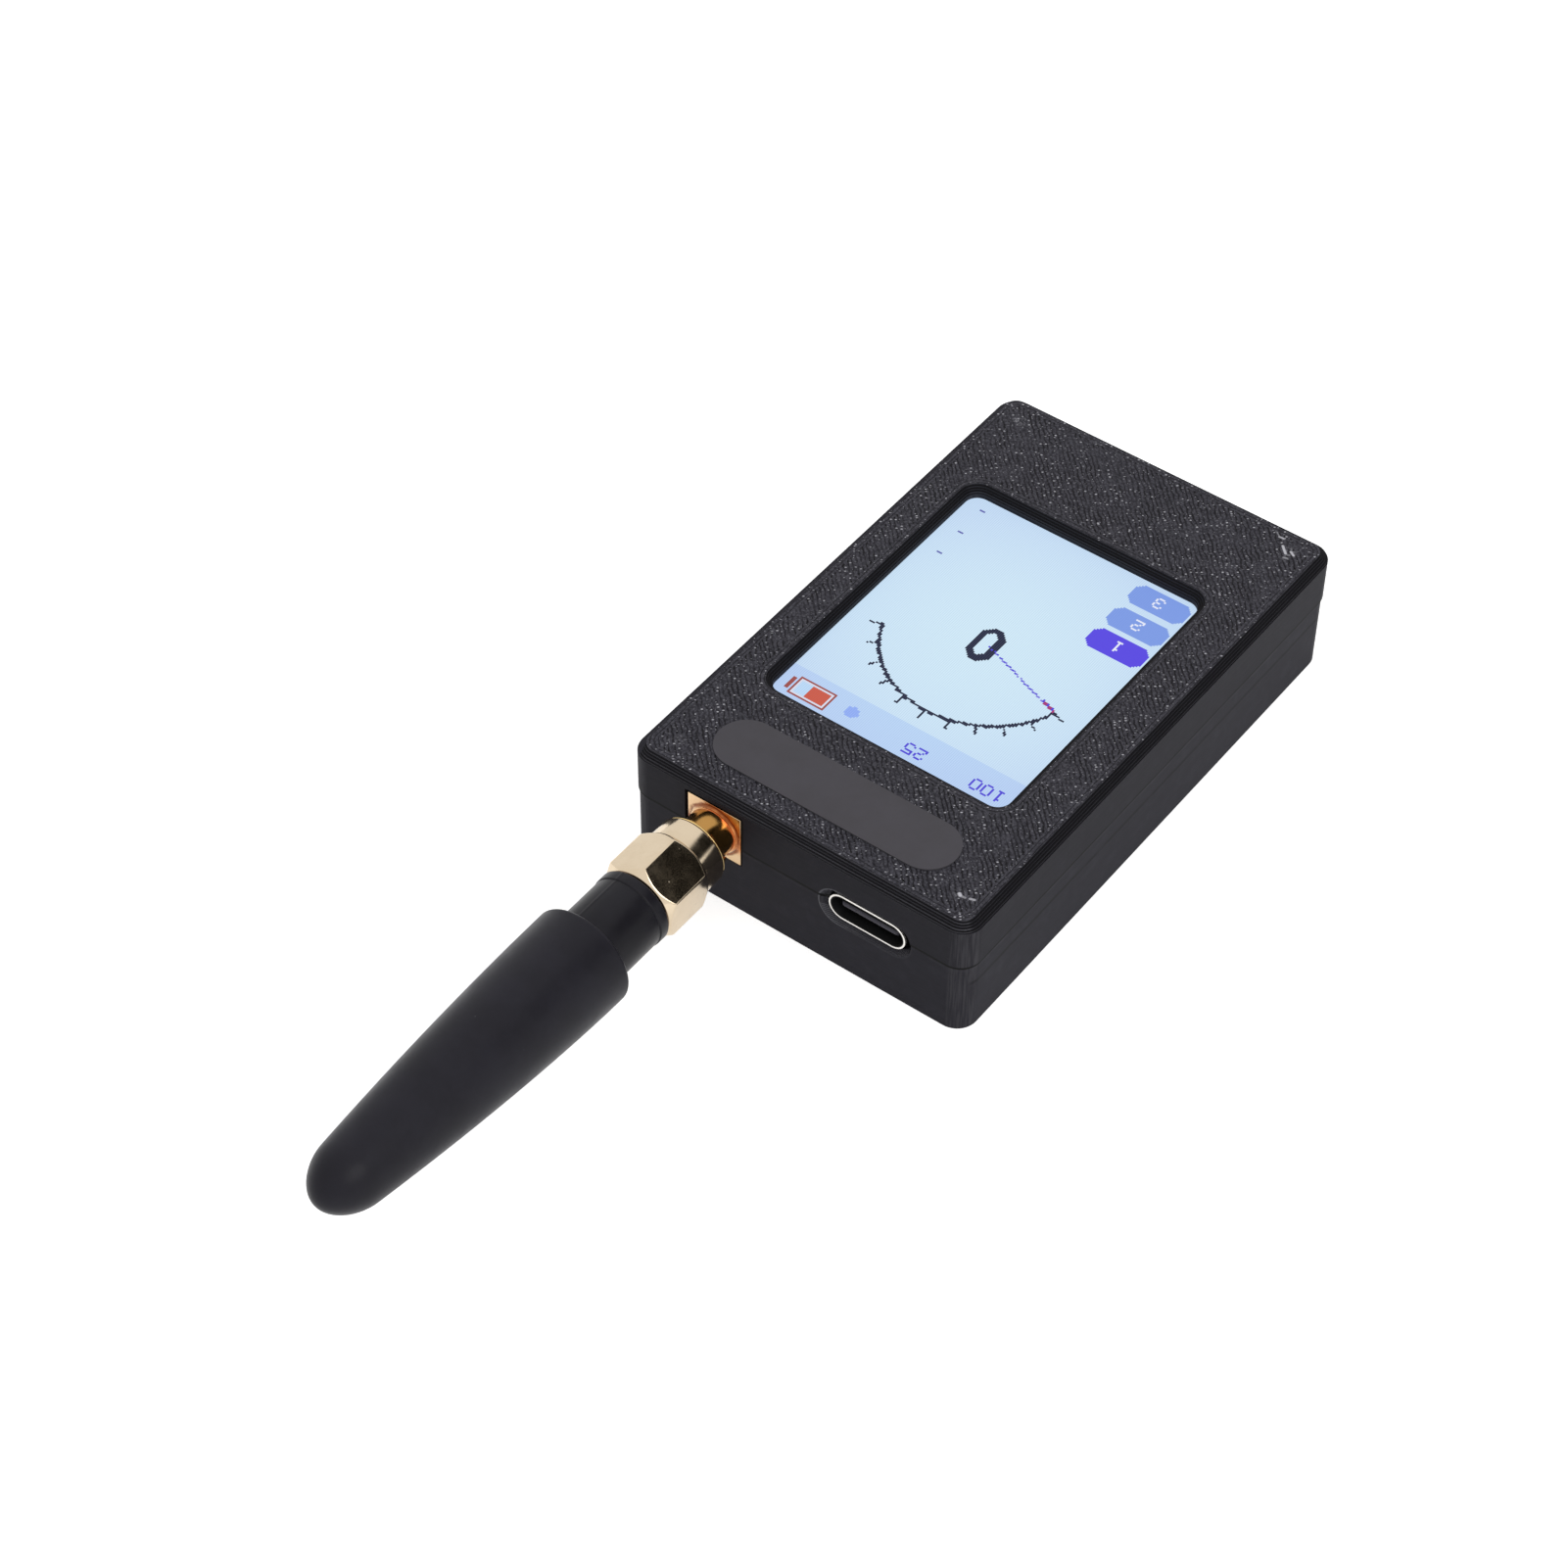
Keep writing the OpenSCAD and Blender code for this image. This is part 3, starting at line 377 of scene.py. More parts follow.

# %% [markdown]
# ## Printed plastic
# Both case shells come off a filament printer. Their big flat faces lay on a textured plate, so
# they show squashed beads, a diagonal fill inside a few outline loops, and a pebbled grain whose
# tips carry painted glints. The walls show the layers, stacked 0.2 mm apart. Each effect is a
# shader group, and the two shells share them with their own values.

# %% Shader groups of the printed plastic
def rounded_box_group():
    """Distance in mm from a rounded rectangle's outline, negative inside it."""
    tree, w, source, result = new_group("rounded_box_distance", {
        "Place": None, "Centre X": 0.0, "Centre Y": 0.0, "Half Width": 10.0, "Half Length": 10.0,
        "Radius": 1.0}, ["Distance"])
    x, y, z = w.split(source["Place"])
    past = []
    for along, centre, half in ((x, "Centre X", "Half Width"), (y, "Centre Y", "Half Length")):
        straight = w.minus(source[half], source["Radius"])
        off = w.absolute(w.minus(along, source[centre]))
        past.append(w.minus(off, straight))
    round_x, round_y = (w.larger(p, 0.0) for p in past)
    corner = w.hypot(round_x, round_y)
    inside = w.smaller(w.larger(past[0], past[1]), 0.0)
    distance = w.minus(w.plus(corner, inside), source["Radius"])
    w.plug(distance, result["Distance"])
    return tree


def print_beads_group():
    """Beads of a first layer: outline loops near an edge and a diagonal fill inside them."""
    tree, w, source, result = new_group("print_beads", {
        "Place": None, "Edge Distance": 5.0, "Loops Width": 0.8, "Loop Pitch": 0.42,
        "Fill Pitch": 0.475, "Slant": 1.0}, ["Groove", "Pinhole"])
    x, y, z = w.split(source["Place"])
    wander = w.line(w.noise(source["Place"], 0.8, 3.0, 0.6), 0.8, -0.4)
    across = w.times(w.line(y, source["Slant"], x), math.sqrt(0.5))
    across = w.plus(across, wander)
    edge = w.line(wander, 0.3, source["Edge Distance"])

    def groove(position, pitch, half_width):
        share = w.math("FRACT", w.over(position, pitch))
        off = w.absolute(w.minus(share, 0.5))
        return w.smooth(off, 0.5 - half_width, 0.5)

    fill = groove(across, source["Fill Pitch"], 0.30)
    loops = groove(edge, source["Loop Pitch"], 0.20)
    in_loops = w.fade(w.minus(source["Edge Distance"], source["Loops Width"]), -0.02, 0.02)
    patches = w.smooth(w.noise(source["Place"], 0.45, 4.0, 0.6), 0.36, 0.58, 0.35, 1.0)
    fill = w.times(fill, patches)
    both = w.plus(w.times(loops, w.times(in_loops, 0.9)), w.times(fill, w.minus(1.0, in_loops)))
    w.plug(both, result["Groove"])
    rim = w.absolute(w.minus(source["Edge Distance"], source["Loops Width"]))
    w.plug(w.times(w.fade(rim, 0.05, 0.14), w.smooth(fill, 0.25, 0.6)), result["Pinhole"])
    return tree


def pebble_group():
    """Grain of a textured plate: fine lumps, and scattered long tips, whose mask later sets painted
    glints.
    """
    tree, w, source, result = new_group("plate_pebbles", {
        "Place": None, "Lump Size": 0.24, "Tip Spacing": 0.33, "Tip Radius": 0.105,
        "Tip Share": 0.55}, ["Lumps", "Tips"])
    lumps = w.noise(source["Place"], w.over(1.0, source["Lump Size"]), 3.0, 0.6)
    w.plug(lumps, result["Lumps"])
    turned = w.node("ShaderNodeMapping", {
        "Vector": source["Place"], "Rotation": (0, 0, math.radians(37)),
        "Scale": (1.6, 1.0, 1.0)}, vector_type="TEXTURE").outputs[0]
    near, chance = w.scatter(turned, source["Tip Spacing"], "2D")
    size = w.times(w.smooth(chance[0], 0.3, 1.0, 0.35, 1.0), source["Tip Radius"])
    tip = w.fade(w.over(near, size), 0.45, 1.0)
    chosen = w.math("LESS_THAN", chance[1], source["Tip Share"])
    shine = w.smooth(chance[2], 0.2, 1.0, 0.15, 0.95)
    w.plug(w.times(w.times(tip, shine), chosen), result["Tips"])
    return tree


def layer_group():
    """Stacked layers on a printed wall: a rounded bead for each, some a little proud."""
    tree, w, source, result = new_group("print_layers", {
        "Place": None, "Layer": 0.2, "Waviness": 0.5}, ["Height", "Tone"])
    x, y, z = w.split(source["Place"])
    level = w.over(z, source["Layer"])
    number = w.math("FLOOR", level)
    off = w.minus(w.math("FRACT", level), 0.5)
    bead = w.line(w.times(off, off), -4.0, 1.0)
    offset = w.node("ShaderNodeTexWhiteNoise", {"W": number}, noise_dimensions="1D").outputs[0]
    flow = w.noise(w.join(w.times(x, 0.08), w.times(y, 0.08), w.times(number, 3.7)), 1.0, 2.0)
    proud = w.times(w.times(offset, offset), flow)
    w.plug(w.line(proud, source["Waviness"], w.times(bead, 0.35)), result["Height"])
    w.plug(w.times(offset, flow), result["Tone"])
    return tree


def handling_group():
    """Smears of fingers and dust: a broad uneven film and sparse tiny specks."""
    tree, w, source, result = new_group("handling", {
        "Place": None, "Film Size": 2.0, "Speck Spacing": 1.2, "Speck Size": 0.05},
        ["Film", "Specks"])
    film = w.noise(source["Place"], w.over(1.0, source["Film Size"]), 4.0, 0.6)
    w.plug(w.smooth(film, 0.35, 0.75), result["Film"])
    near, chance = w.scatter(source["Place"], source["Speck Spacing"])
    size = w.times(source["Speck Size"], w.plus(chance[1], 0.4))
    speck = w.fade(w.over(near, size), 0.5, 1.0)
    w.plug(w.times(speck, w.math("GREATER_THAN", chance[0], 0.5)), result["Specks"])
    return tree


def scratch_group():
    """A short straight mark from one point to another, with soft sides."""
    tree, w, source, result = new_group("scratch", {
        "Place": None, "From": None, "To": None, "Width": 0.15}, ["Mark"])

    def vector_math(operation, a, b=None):
        plugs = {0: a} if b is None else {0: a, 1: b}
        return w.node("ShaderNodeVectorMath", plugs, operation=operation).outputs

    whole = vector_math("SUBTRACT", source["To"], source["From"])["Vector"]
    part = vector_math("SUBTRACT", source["Place"], source["From"])["Vector"]
    share = w.over(vector_math("DOT_PRODUCT", part, whole)["Value"],
                   vector_math("DOT_PRODUCT", whole, whole)["Value"])
    share = w.smaller(w.larger(share, 0.0), 1.0)
    nearest = vector_math("MULTIPLY", whole, w.join(share, share, share))["Vector"]
    off = vector_math("LENGTH", vector_math("SUBTRACT", part, nearest)["Vector"])["Value"]
    w.plug(w.fade(w.over(off, source["Width"]), 0.3, 0.6), result["Mark"])
    return tree


ROUNDED_BOX = rounded_box_group()
PRINT_BEADS = print_beads_group()
PLATE_PEBBLES = pebble_group()
PRINT_LAYERS = layer_group()
HANDLING = handling_group()
SCRATCH = scratch_group()
print("printed plastic uses", len(bpy.data.node_groups), "shader groups")

# %% [markdown]
# The window's outline isn't in the frame as a number, but the display glass is, and the window
# sits over its lit part. The bevels of the case and the window are five and four layers wide.
# These sizes, in millimetres, tell the shells' material where its features lie.

# %% Sizes that the materials read
LAYER = 0.2
EDGE_BEVEL = 1.0
WINDOW_BEVEL = 0.8
WINDOW_W, WINDOW_L, WINDOW_R = 28.0, 35.6, 1.5
CORNER_R = 2.3
BORDER_AT_ANTENNA, ACTIVE_L = 2.8, 35.04
COVER_DEPTH = 6.1
SEAM_Z, SEAM_H = case_h - COVER_DEPTH, 0.12
SHIFTED_Z = 6.35
END_DEPTH = 0.5
SCREW_HEAD_R = 1.9
FLARE_W, FLARE_H, FLARE_LEFT, FLARE_DOWN = 5.42, 2.35, 0.3, 0.5
NOTCH_HALF = 3.25

glass_low, glass_high = corners("lcd_glass")
window_x = (glass_low.x + glass_high.x) / 2
window_y = glass_low.y + BORDER_AT_ANTENNA + ACTIVE_L / 2
screws_high = corners("case_screws")[1]
screw_x, screw_y = screws_high.x - SCREW_HEAD_R, screws_high.y - SCREW_HEAD_R
tongue_low, tongue_high = corners("port_tongue")
port_x = (tongue_low.x + tongue_high.x) / 2
port_z = (tongue_low.z + tongue_high.z) / 2
nut_low, nut_high = corners("coupling_nut")
axis_x = (nut_low.x + nut_high.x) / 2
axis_z = (nut_low.z + nut_high.z) / 2

print(f"window centre ({window_x:.2f}, {window_y:.2f}), screws at +-({screw_x:.1f}, {screw_y:.1f})")

# %% [markdown]
# ## Marks of printing and of use, and painted light and shade
# Each function below answers one question about a point of a shell, as a mask from 0 to 1: is it in
# the painted shade of the seam, in the painted shade of the layer that was printed a little
# inwards, in a scuff, on a tip that gets a painted glint, on the painted highlight of the flare
# round the port, or in the painted shade of the gap round the flange?

# %% Masks of the shells
def seam_masks(w, place):
    """Painted shade along the groove where the shells meet, and the pale layer under it."""
    z = w.split(place)[2]
    tremble = w.line(w.noise(place, 0.5, 3.0), 0.10, -0.05)
    level = w.minus(w.plus(z, tremble), SEAM_Z + SEAM_H / 2 + 0.07)
    # Painted shade of the seam's groove, drawn wider than the groove.
    dark = w.fade(w.absolute(level), 0.17, 0.25)
    dark = w.times(dark, w.smooth(w.noise(place, 0.3, 2.0), 0.25, 0.45, 0.6, 1.0))
    pale = w.fade(w.absolute(w.plus(level, 0.42)), 0.06, 0.20)
    return dark, w.times(pale, w.smooth(w.noise(place, 0.4, 3.0), 0.35, 0.6))


def shifted_layer_painted_shade(w, place, side):
    """Painted shade along one layer of the rear case that was printed a little inwards, along the
    long sides.
    """
    z = w.split(place)[2]
    tremble = w.line(w.noise(place, 0.15, 3.0), 0.3, -0.15)
    level = w.absolute(w.minus(w.plus(z, tremble), SHIFTED_Z))
    line = w.times(w.fade(level, 0.12, 0.30), side)
    return w.times(line, w.smooth(w.noise(place, 0.25, 2.0), 0.3, 0.5, 0.4, 1.0))


# Scuffs beside the far right screw (1) and pebbles beside the near right one (-1), both with
# painted
# glints: which screw, start and end in mm from it, width in mm and how bright the glint is painted.
SCUFFS = (
    (1, (-0.99, 0.48), (-0.17, -0.31), 0.30, 1.0), (1, (0.13, 0.21), (0.63, -0.08), 0.30, 0.9),
    (1, (-0.06, -0.94), (0.35, -0.80), 0.22, 0.5), (1, (-1.97, 1.42), (-1.48, 1.45), 0.26, 0.8),
    (1, (-2.55, 1.88), (-2.11, 1.54), 0.18, 0.35), (-1, (-0.04, 0.06), (0.12, -0.06), 0.42, 1.0),
    (-1, (1.11, 0.14), (1.52, 0.28), 0.30, 0.7), (-1, (0.31, -0.05), (0.65, -0.04), 0.28, 0.5))


def scuff_mask(w, flat_place):
    marks = 0.0
    for side, start, end, width, shine in SCUFFS:
        ends = [(screw_x + across, side * screw_y + along, 0.0) for across, along in (start, end)]
        mark = use_group(w, SCRATCH, Place=flat_place, From=ends[0], To=ends[1],
                         Width=width)["Mark"]
        marks = w.larger(marks, w.times(mark, shine))
    return marks


def bright_tips(w, place, tips, windowed):
    """Pebbles' tips, the blisters over the four screws and, on the cover, the scuffs, which get
    painted glints.
    """
    x, y, z = w.split(place)
    from_screw = w.hypot(w.minus(w.absolute(x), screw_x), w.minus(w.absolute(y), screw_y))
    blister = w.times(w.fade(from_screw, 0.3, 1.0), w.smooth(w.noise(place, 3.4, 3.0), 0.45, 0.68))
    tips = w.larger(tips, w.times(blister, w.smooth(y, -screw_y, screw_y, 0.2, 0.4)))
    return w.larger(tips, scuff_mask(w, w.join(x, y, 0.0))) if windowed else tips


def face_edges(w, place, windowed):
    """Distance of a point of the face from its nearest outline, and from the window's."""
    inset = EDGE_BEVEL * windowed
    outline = use_group(w, ROUNDED_BOX, Place=place, Half_Width=case_w / 2 - inset,
                        Half_Length=case_l / 2 - inset, Radius=CORNER_R - inset / 2)["Distance"]
    edge = w.times(outline, -1.0)
    if not windowed:
        return edge, None
    window = use_group(
        w, ROUNDED_BOX, Place=place, Centre_X=window_x, Centre_Y=window_y,
        Half_Width=WINDOW_W / 2 + WINDOW_BEVEL, Half_Length=WINDOW_L / 2 + WINDOW_BEVEL,
        Radius=WINDOW_R + WINDOW_BEVEL)["Distance"]
    return w.smaller(edge, window), window


def flare_painted_highlight(w, place):
    """Painted highlight on the rim of the flare round the port and on the layer lines in its lower
    left half.
    """
    x, y, z = w.split(place)
    flare = use_group(w, ROUNDED_BOX, Place=w.join(x, z, 0.0), Centre_X=port_x - FLARE_LEFT,
                      Centre_Y=port_z - FLARE_DOWN, Half_Width=FLARE_W, Half_Length=FLARE_H,
                      Radius=FLARE_H)["Distance"]
    rim = w.times(w.fade(w.absolute(flare), 0.04, 0.13),
                  w.smooth(x, port_x - 4.5, port_x - 1.5, 1.0, 0.15))
    inside = w.times(w.fade(flare, -0.16, -0.08), w.fade(z, port_z - 1.2, port_z - 0.9))
    off_layer = w.absolute(w.minus(w.math("FRACT", w.over(z, LAYER)), 0.5))
    lines = w.times(w.times(inside, w.smooth(off_layer, 0.15, 0.35)),
                    w.smooth(x, port_x - 3.0, port_x + 1.0, 1.0, 0.3))
    return w.larger(rim, lines)


def notch_painted_shade(w, place):
    """Painted shade along the gap between the antenna socket's flange and the shells."""
    x, y, z = w.split(place)
    notch = use_group(w, ROUNDED_BOX, Place=w.join(x, z, 0.0), Centre_X=axis_x, Centre_Y=axis_z,
                      Half_Width=NOTCH_HALF, Half_Length=NOTCH_HALF, Radius=0.1)["Distance"]
    return w.fade(notch, 0.20, 0.32)


print(len(SCUFFS), "scuffs beside the screws")

# %% [markdown]
# ## The two shells' material
# The colours come next, in three parts: the pebbled face, the walls, and the steps of the bevels,
# whose risers get painted light and whose treads get painted shade, nearly black. The painted shade
# of the seam and of the gap round the flange goes on last, because nothing lies over it.

# %% Colours and material of the shells
# Several tones are painted light or shade: the valleys, grooves, pinholes, shifted layer, treads,
# shaded risers and gap are painted shade; the crests, tips, corner, port ledge, flare and risers
# are painted light, and the left tread is painted shade a little lighter.
TONES = {name: srgb(*levels) for name, levels in {
    "painted valley": (35, 34, 40), "painted crest": (74, 73, 80), "groove": (12, 11, 15), "painted pinhole": (6, 6, 7),
    "tip": (190, 189, 196), "wall": (33, 32, 39), "proud layer": (38, 37, 45),
    "cloud": (40, 39, 47), "cover wall": (22, 21, 26), "corner": (57, 56, 61),
    "under seam": (62, 61, 68), "painted_shift_shade": (14, 14, 17), "dust": (96, 95, 100),
    "painted port ledge": (74, 73, 79), "flare": (94, 94, 100), "painted_riser": (58, 57, 63),
    "painted proud riser": (104, 103, 110), "shaded riser": (29, 28, 33), "painted left tread": (44, 43, 49),
    "painted tread": (18, 17, 20), "gap": (3, 3, 4)}.items()}


def face_colour(w, lumps, tips, beads):
    # Painted shade in the valleys between the lumps, in the grooves and in the pinholes, and
    # painted light on the crests.
    colour = w.tint(w.smooth(lumps, 0.3, 0.7), TONES["painted valley"], TONES["painted crest"])
    colour = w.tint(beads["Groove"], colour, TONES["groove"])
    colour = w.tint(w.times(beads["Pinhole"], 0.9), colour, TONES["painted pinhole"])
    # Painted glint on the pebbles' tips, the blisters and the scuffs.
    return w.tint(tips, colour, TONES["tip"])


def wall_colour(w, place, normal, layers, ledge, long_side, pale_seam, near_end):
    x, y, z = w.split(place)
    turn_x, turn_y, turn_z = w.split(normal)
    colour = w.tint(layers["Tone"], TONES["wall"], TONES["proud layer"])
    colour = w.tint(w.smooth(w.noise(place, 0.5, 4.0, 0.6), 0.45, 0.75), colour, TONES["cloud"])
    colour = w.tint(w.smooth(z, SEAM_Z, SEAM_Z + 0.2, 0.0, 0.4), colour, TONES["cover wall"])
    # The rounded corners get vertical streaks with a painted highlight.
    rounding = w.smooth(w.absolute(w.times(turn_x, turn_y)), 0.05, 0.25)
    streaks_and_painted_highlight = w.noise(w.join(w.times(x, 5.0), w.times(y, 5.0), w.times(z, 0.25)), 1.0, 2.0)
    streaks_and_painted_highlight = w.times(rounding, w.smooth(streaks_and_painted_highlight, 0.35, 0.65, 0.15, 1.0))
    colour = w.tint(streaks_and_painted_highlight, colour, TONES["corner"])
    colour = w.tint(w.times(pale_seam, 0.25), colour, TONES["under seam"])
    # Painted shade along the layer that was printed a little inwards.
    painted_shift_shade = shifted_layer_painted_shade(w, place, long_side)
    colour = w.tint(w.times(painted_shift_shade, 0.75), colour, TONES["painted_shift_shade"])
    handling = use_group(w, HANDLING, Place=place, Speck_Spacing=2.4, Speck_Size=0.06)
    colour = w.tint(w.times(handling["Specks"], 0.5), colour, TONES["dust"])
    # Painted light on the ledges at the port's end, then a painted highlight on the flare.
    at_port = w.fade(y, front_y + END_DEPTH + 0.02, front_y + END_DEPTH + 0.08)
    colour = w.tint(w.times(ledge, at_port), colour, TONES["painted port ledge"])
    return w.tint(w.times(flare_painted_highlight(w, place), near_end), colour, TONES["flare"])


# The bevels' steps: painted light on the risers, painted shade on the treads, deeper on the risers
# of the long sides and near the window, and a little less on the treads along the left edge.
def step_painted_light_and_shade(w, x, layers, ledge, long_side, from_window):
    painted_riser = w.tint(layers["Tone"], TONES["painted_riser"], TONES["painted proud riser"])
    shade = w.larger(w.times(long_side, 0.85), w.smooth(from_window, 0.1, 0.3, 0.6, 0.0))
    painted_riser = w.tint(shade, painted_riser, TONES["shaded riser"])
    from_left = w.smooth(x, EDGE_BEVEL - case_w / 2, EDGE_BEVEL + 0.3 - case_w / 2)
    return w.tint(ledge, painted_riser, w.tint(from_left, TONES["painted left tread"], TONES["painted tread"]))


def printed_material(name, face_z, slant, windowed):
    """Plastic of one shell. Its pebbled face lies at height face_z, its other sides are walls."""
    material, w, shader, place = new_material(name, Roughness=0.55, Specular_IOR_Level=0.13)
    x, y, z = w.split(place)
    normal = w.normal()
    turn_x, turn_y, turn_z = w.split(normal)
    ledge = w.smooth(w.absolute(turn_z), 0.5, 0.9)
    on_face = w.times(ledge, w.fade(w.absolute(w.minus(z, face_z)), 0.03, 0.06))
    long_side = w.smooth(w.absolute(turn_x), 0.8, 0.95)
    near_end = w.fade(y, front_y + END_DEPTH, front_y + END_DEPTH + 0.05)

    edge, from_window = face_edges(w, place, windowed)
    beads = use_group(w, PRINT_BEADS, Place=place, Edge_Distance=edge, Slant=slant)
    pebbles = use_group(w, PLATE_PEBBLES, Place=place)
    layers = use_group(w, PRINT_LAYERS, Place=place, Layer=LAYER)
    tips = w.times(bright_tips(w, place, pebbles["Tips"], windowed), on_face)
    relief = w.plus(w.times(pebbles["Lumps"], 0.7), w.times(tips, 0.35))
    relief = w.minus(relief, w.times(beads["Groove"], 0.35))
    relief = w.minus(relief, w.times(beads["Pinhole"], 0.6))
    wall_relief = w.times(layers["Height"], 0.07)
    bump(w, shader, w.plus(w.times(relief, on_face),
                           w.times(wall_relief, w.minus(1.0, on_face))), 0.14)

    seam_painted_shade, pale_seam = seam_masks(w, place)
    walls = wall_colour(w, place, normal, layers, ledge, long_side, pale_seam, near_end)
    if windowed:
        on_bevel = w.smooth(z, case_h - EDGE_BEVEL - 0.06, case_h - EDGE_BEVEL + 0.02)
        walls = w.tint(on_bevel, walls, step_painted_light_and_shade(w, x, layers, ledge, long_side, from_window))
    # Painted shade in the seam, then in the gap round the flange.
    walls = w.tint(seam_painted_shade, walls, TONES["gap"])
    if windowed:
        walls = w.tint(w.times(notch_painted_shade(w, place), near_end), walls, TONES["gap"])
    face = face_colour(w, pebbles["Lumps"], tips, beads)
    w.plug(w.tint(on_face, walls, face), shader.inputs["Base Color"])
    rough = w.smooth(tips, 0.0, 1.0, 0.6, 0.35)
    w.plug(w.line(w.noise(place, 0.07, 3.0), 0.08, rough), shader.inputs["Roughness"])
    return material


coat_node("front_cover", printed_material("print_cover", case_h, 1.0, True))
coat_node("rear_case", printed_material("print_rear", 0.0, -1.0, False))
print("two shells coated with", len(TONES), "tones")

# %% [markdown]
# ## The lit display
# A 1.8 inch panel has 128 x 160 square pixels, 0.219 mm apart. The picture is a mesh with one face
# for each pixel, a few more than the panel has, so that it fills the whole window. An image would
# blur when the camera comes close, and these faces stay sharp. Every shape is drawn by a rule:
# rectangles, a disc, an arc with ticks and a few digits from a small dot font. Pixel (0, 0) is the
# middle of the window, u runs to the right and v runs down when the antenna points up.

# %% Draw the picture
PITCH = 0.219
COLUMNS, ROWS = 131, 165
PAPER, PAPER_EDGE = (213, 238, 250), (201, 224, 247)
BAND, BAND_EDGE = (192, 222, 250), (188, 212, 246)
INK, VIOLET, DOT_BLUE = (16, 12, 26), (78, 60, 214), (148, 177, 247)
BUTTON_ON, BUTTON_OFF = (86, 62, 228), (126, 157, 231)
WHITE_INK, NEEDLE_TIP, NEEDLE_PALE = (236, 240, 252), (170, 40, 110), (128, 118, 226)
ORANGE, RUST, CELL_WHITE, SIDE_MARK = (208, 86, 40), (160, 72, 46), (222, 226, 240), (92, 92, 170)
BAND_V, SCALE_R, SCALE_OUTER_R, TICK_R, SWEEP = -59, 50, 50.7, 56, 70
DASH_EVERY, DASH_LONG = 60, 34
NEEDLE_L, NEEDLE_END = 41, 50
# left, top, width, height and colour of the battery sign, each box over the ones before it
BATTERY = ((37, -76, 20, 12, RUST), (38, -75, 18, 10, CELL_WHITE), (39, -74, 16, 8, BAND),
           (39, -74, 10, 8, ORANGE), (58, -74, 2, 8, RUST))
BUTTON_LEFT, BUTTON_TOPS, BUTTON_W, BUTTON_H = -61, (30, 47, 65), 30, 14
DOT_FONT = {
    "0": "01110 10001 10001 10001 10001 10001 01110",
    "1": "00100 01100 00100 00100 00100 00100 01110",
    "2": "01110 10001 00001 00110 01000 10000 11111",
    "3": "01110 10001 00001 00110 00001 10001 01110",
    "5": "11111 10000 11110 00001 00001 10001 01110",
}


def blank_picture():
    """Pale blue paper that turns a little more violet towards its corners, and a band on top."""
    picture = {}
    for column in range(COLUMNS):
        for row in range(ROWS):
            u, v = column - COLUMNS // 2, row - ROWS // 2
            away = min(1.0, (u * u + v * v) / 90 ** 2)
            inner, outer = (BAND, BAND_EDGE) if v < BAND_V else (PAPER, PAPER_EDGE)
            picture[u, v] = tuple(a + (b - a) * away for a, b in zip(inner, outer))
    return picture


def dot(picture, u, v, colour):
    key = (round(u), round(v))
    if key in picture:
        picture[key] = colour


def fill_box(picture, left, top, width, height, colour, cut=0):
    """A filled rectangle. Its corners are cut off by cut pixels."""
    for i in range(width):
        for j in range(height):
            to_side = min(i, width - 1 - i) + min(j, height - 1 - j)
            if to_side >= cut:
                dot(picture, left + i, top + j, colour)


def fill_disc(picture, centre_u, centre_v, radius, colour):
    for u, v in picture:
        if math.hypot(u - centre_u, v - centre_v) < radius:
            picture[u, v] = colour


def draw_line(picture, start, end, colour):
    steps = 2 * int(max(abs(end[0] - start[0]), abs(end[1] - start[1])))
    for i in range(steps + 1):
        share = i / steps
        dot(picture, start[0] + (end[0] - start[0]) * share,
            start[1] + (end[1] - start[1]) * share, colour)


def draw_digits(picture, digits, left, top, colour):
    for place, digit in enumerate(digits):
        for j, line in enumerate(DOT_FONT[digit].split()):
            for i, lit in enumerate(line):
                if lit == "1":
                    dot(picture, left + 6 * place + i, top + j, colour)


def on_scale(radius, degrees):
    """A point of the scale: 0 degrees is straight up, and the needle turns about (0, 2)."""
    turn = math.radians(degrees)
    return radius * math.sin(turn), 2 - radius * math.cos(turn)


def draw_scale(picture):
    """The arc, thicker in dashes, its eleven ticks and the needle at rest on the left."""
    for step in range(-10 * SWEEP, 10 * SWEEP + 1):
        dot(picture, *on_scale(SCALE_R, step / 10), INK)
        if step % DASH_EVERY < DASH_LONG:
            dot(picture, *on_scale(SCALE_OUTER_R, step / 10), INK)
    for tick in range(-5, 6):
        degrees = tick * SWEEP // 5
        draw_line(picture, on_scale(SCALE_R, degrees), on_scale(TICK_R, degrees), INK)
    for share in range(0, NEEDLE_L, 2):
        dot(picture, *on_scale(share, -SWEEP), VIOLET)
        dot(picture, *on_scale(share + 0.8, -SWEEP), NEEDLE_PALE)
    for along in range(NEEDLE_L, NEEDLE_END):
        for side in (0, 1.0):
            u, v = on_scale(along, -SWEEP)
            dot(picture, u, v + side, NEEDLE_TIP if along % 3 else VIOLET)


def draw_reading(picture):
    """The big zero in the middle, three pixels thick with cut corners."""
    fill_box(picture, -4, -9, 13, 23, INK, cut=4)
    fill_box(picture, 0, -5, 6, 16, PAPER, cut=2)
    for share in range(0, 10, 2):
        dot(picture, *on_scale(share, -SWEEP), VIOLET)


def draw_buttons(picture):
    for number, top in enumerate(BUTTON_TOPS):
        fill_box(picture, BUTTON_LEFT, top, BUTTON_W, BUTTON_H,
                 BUTTON_OFF if number else BUTTON_ON, cut=3)
        draw_digits(picture, str(number + 1), BUTTON_LEFT + 13, top + 4, WHITE_INK)
        fill_box(picture, 53, top + 9, 3, 1, SIDE_MARK)


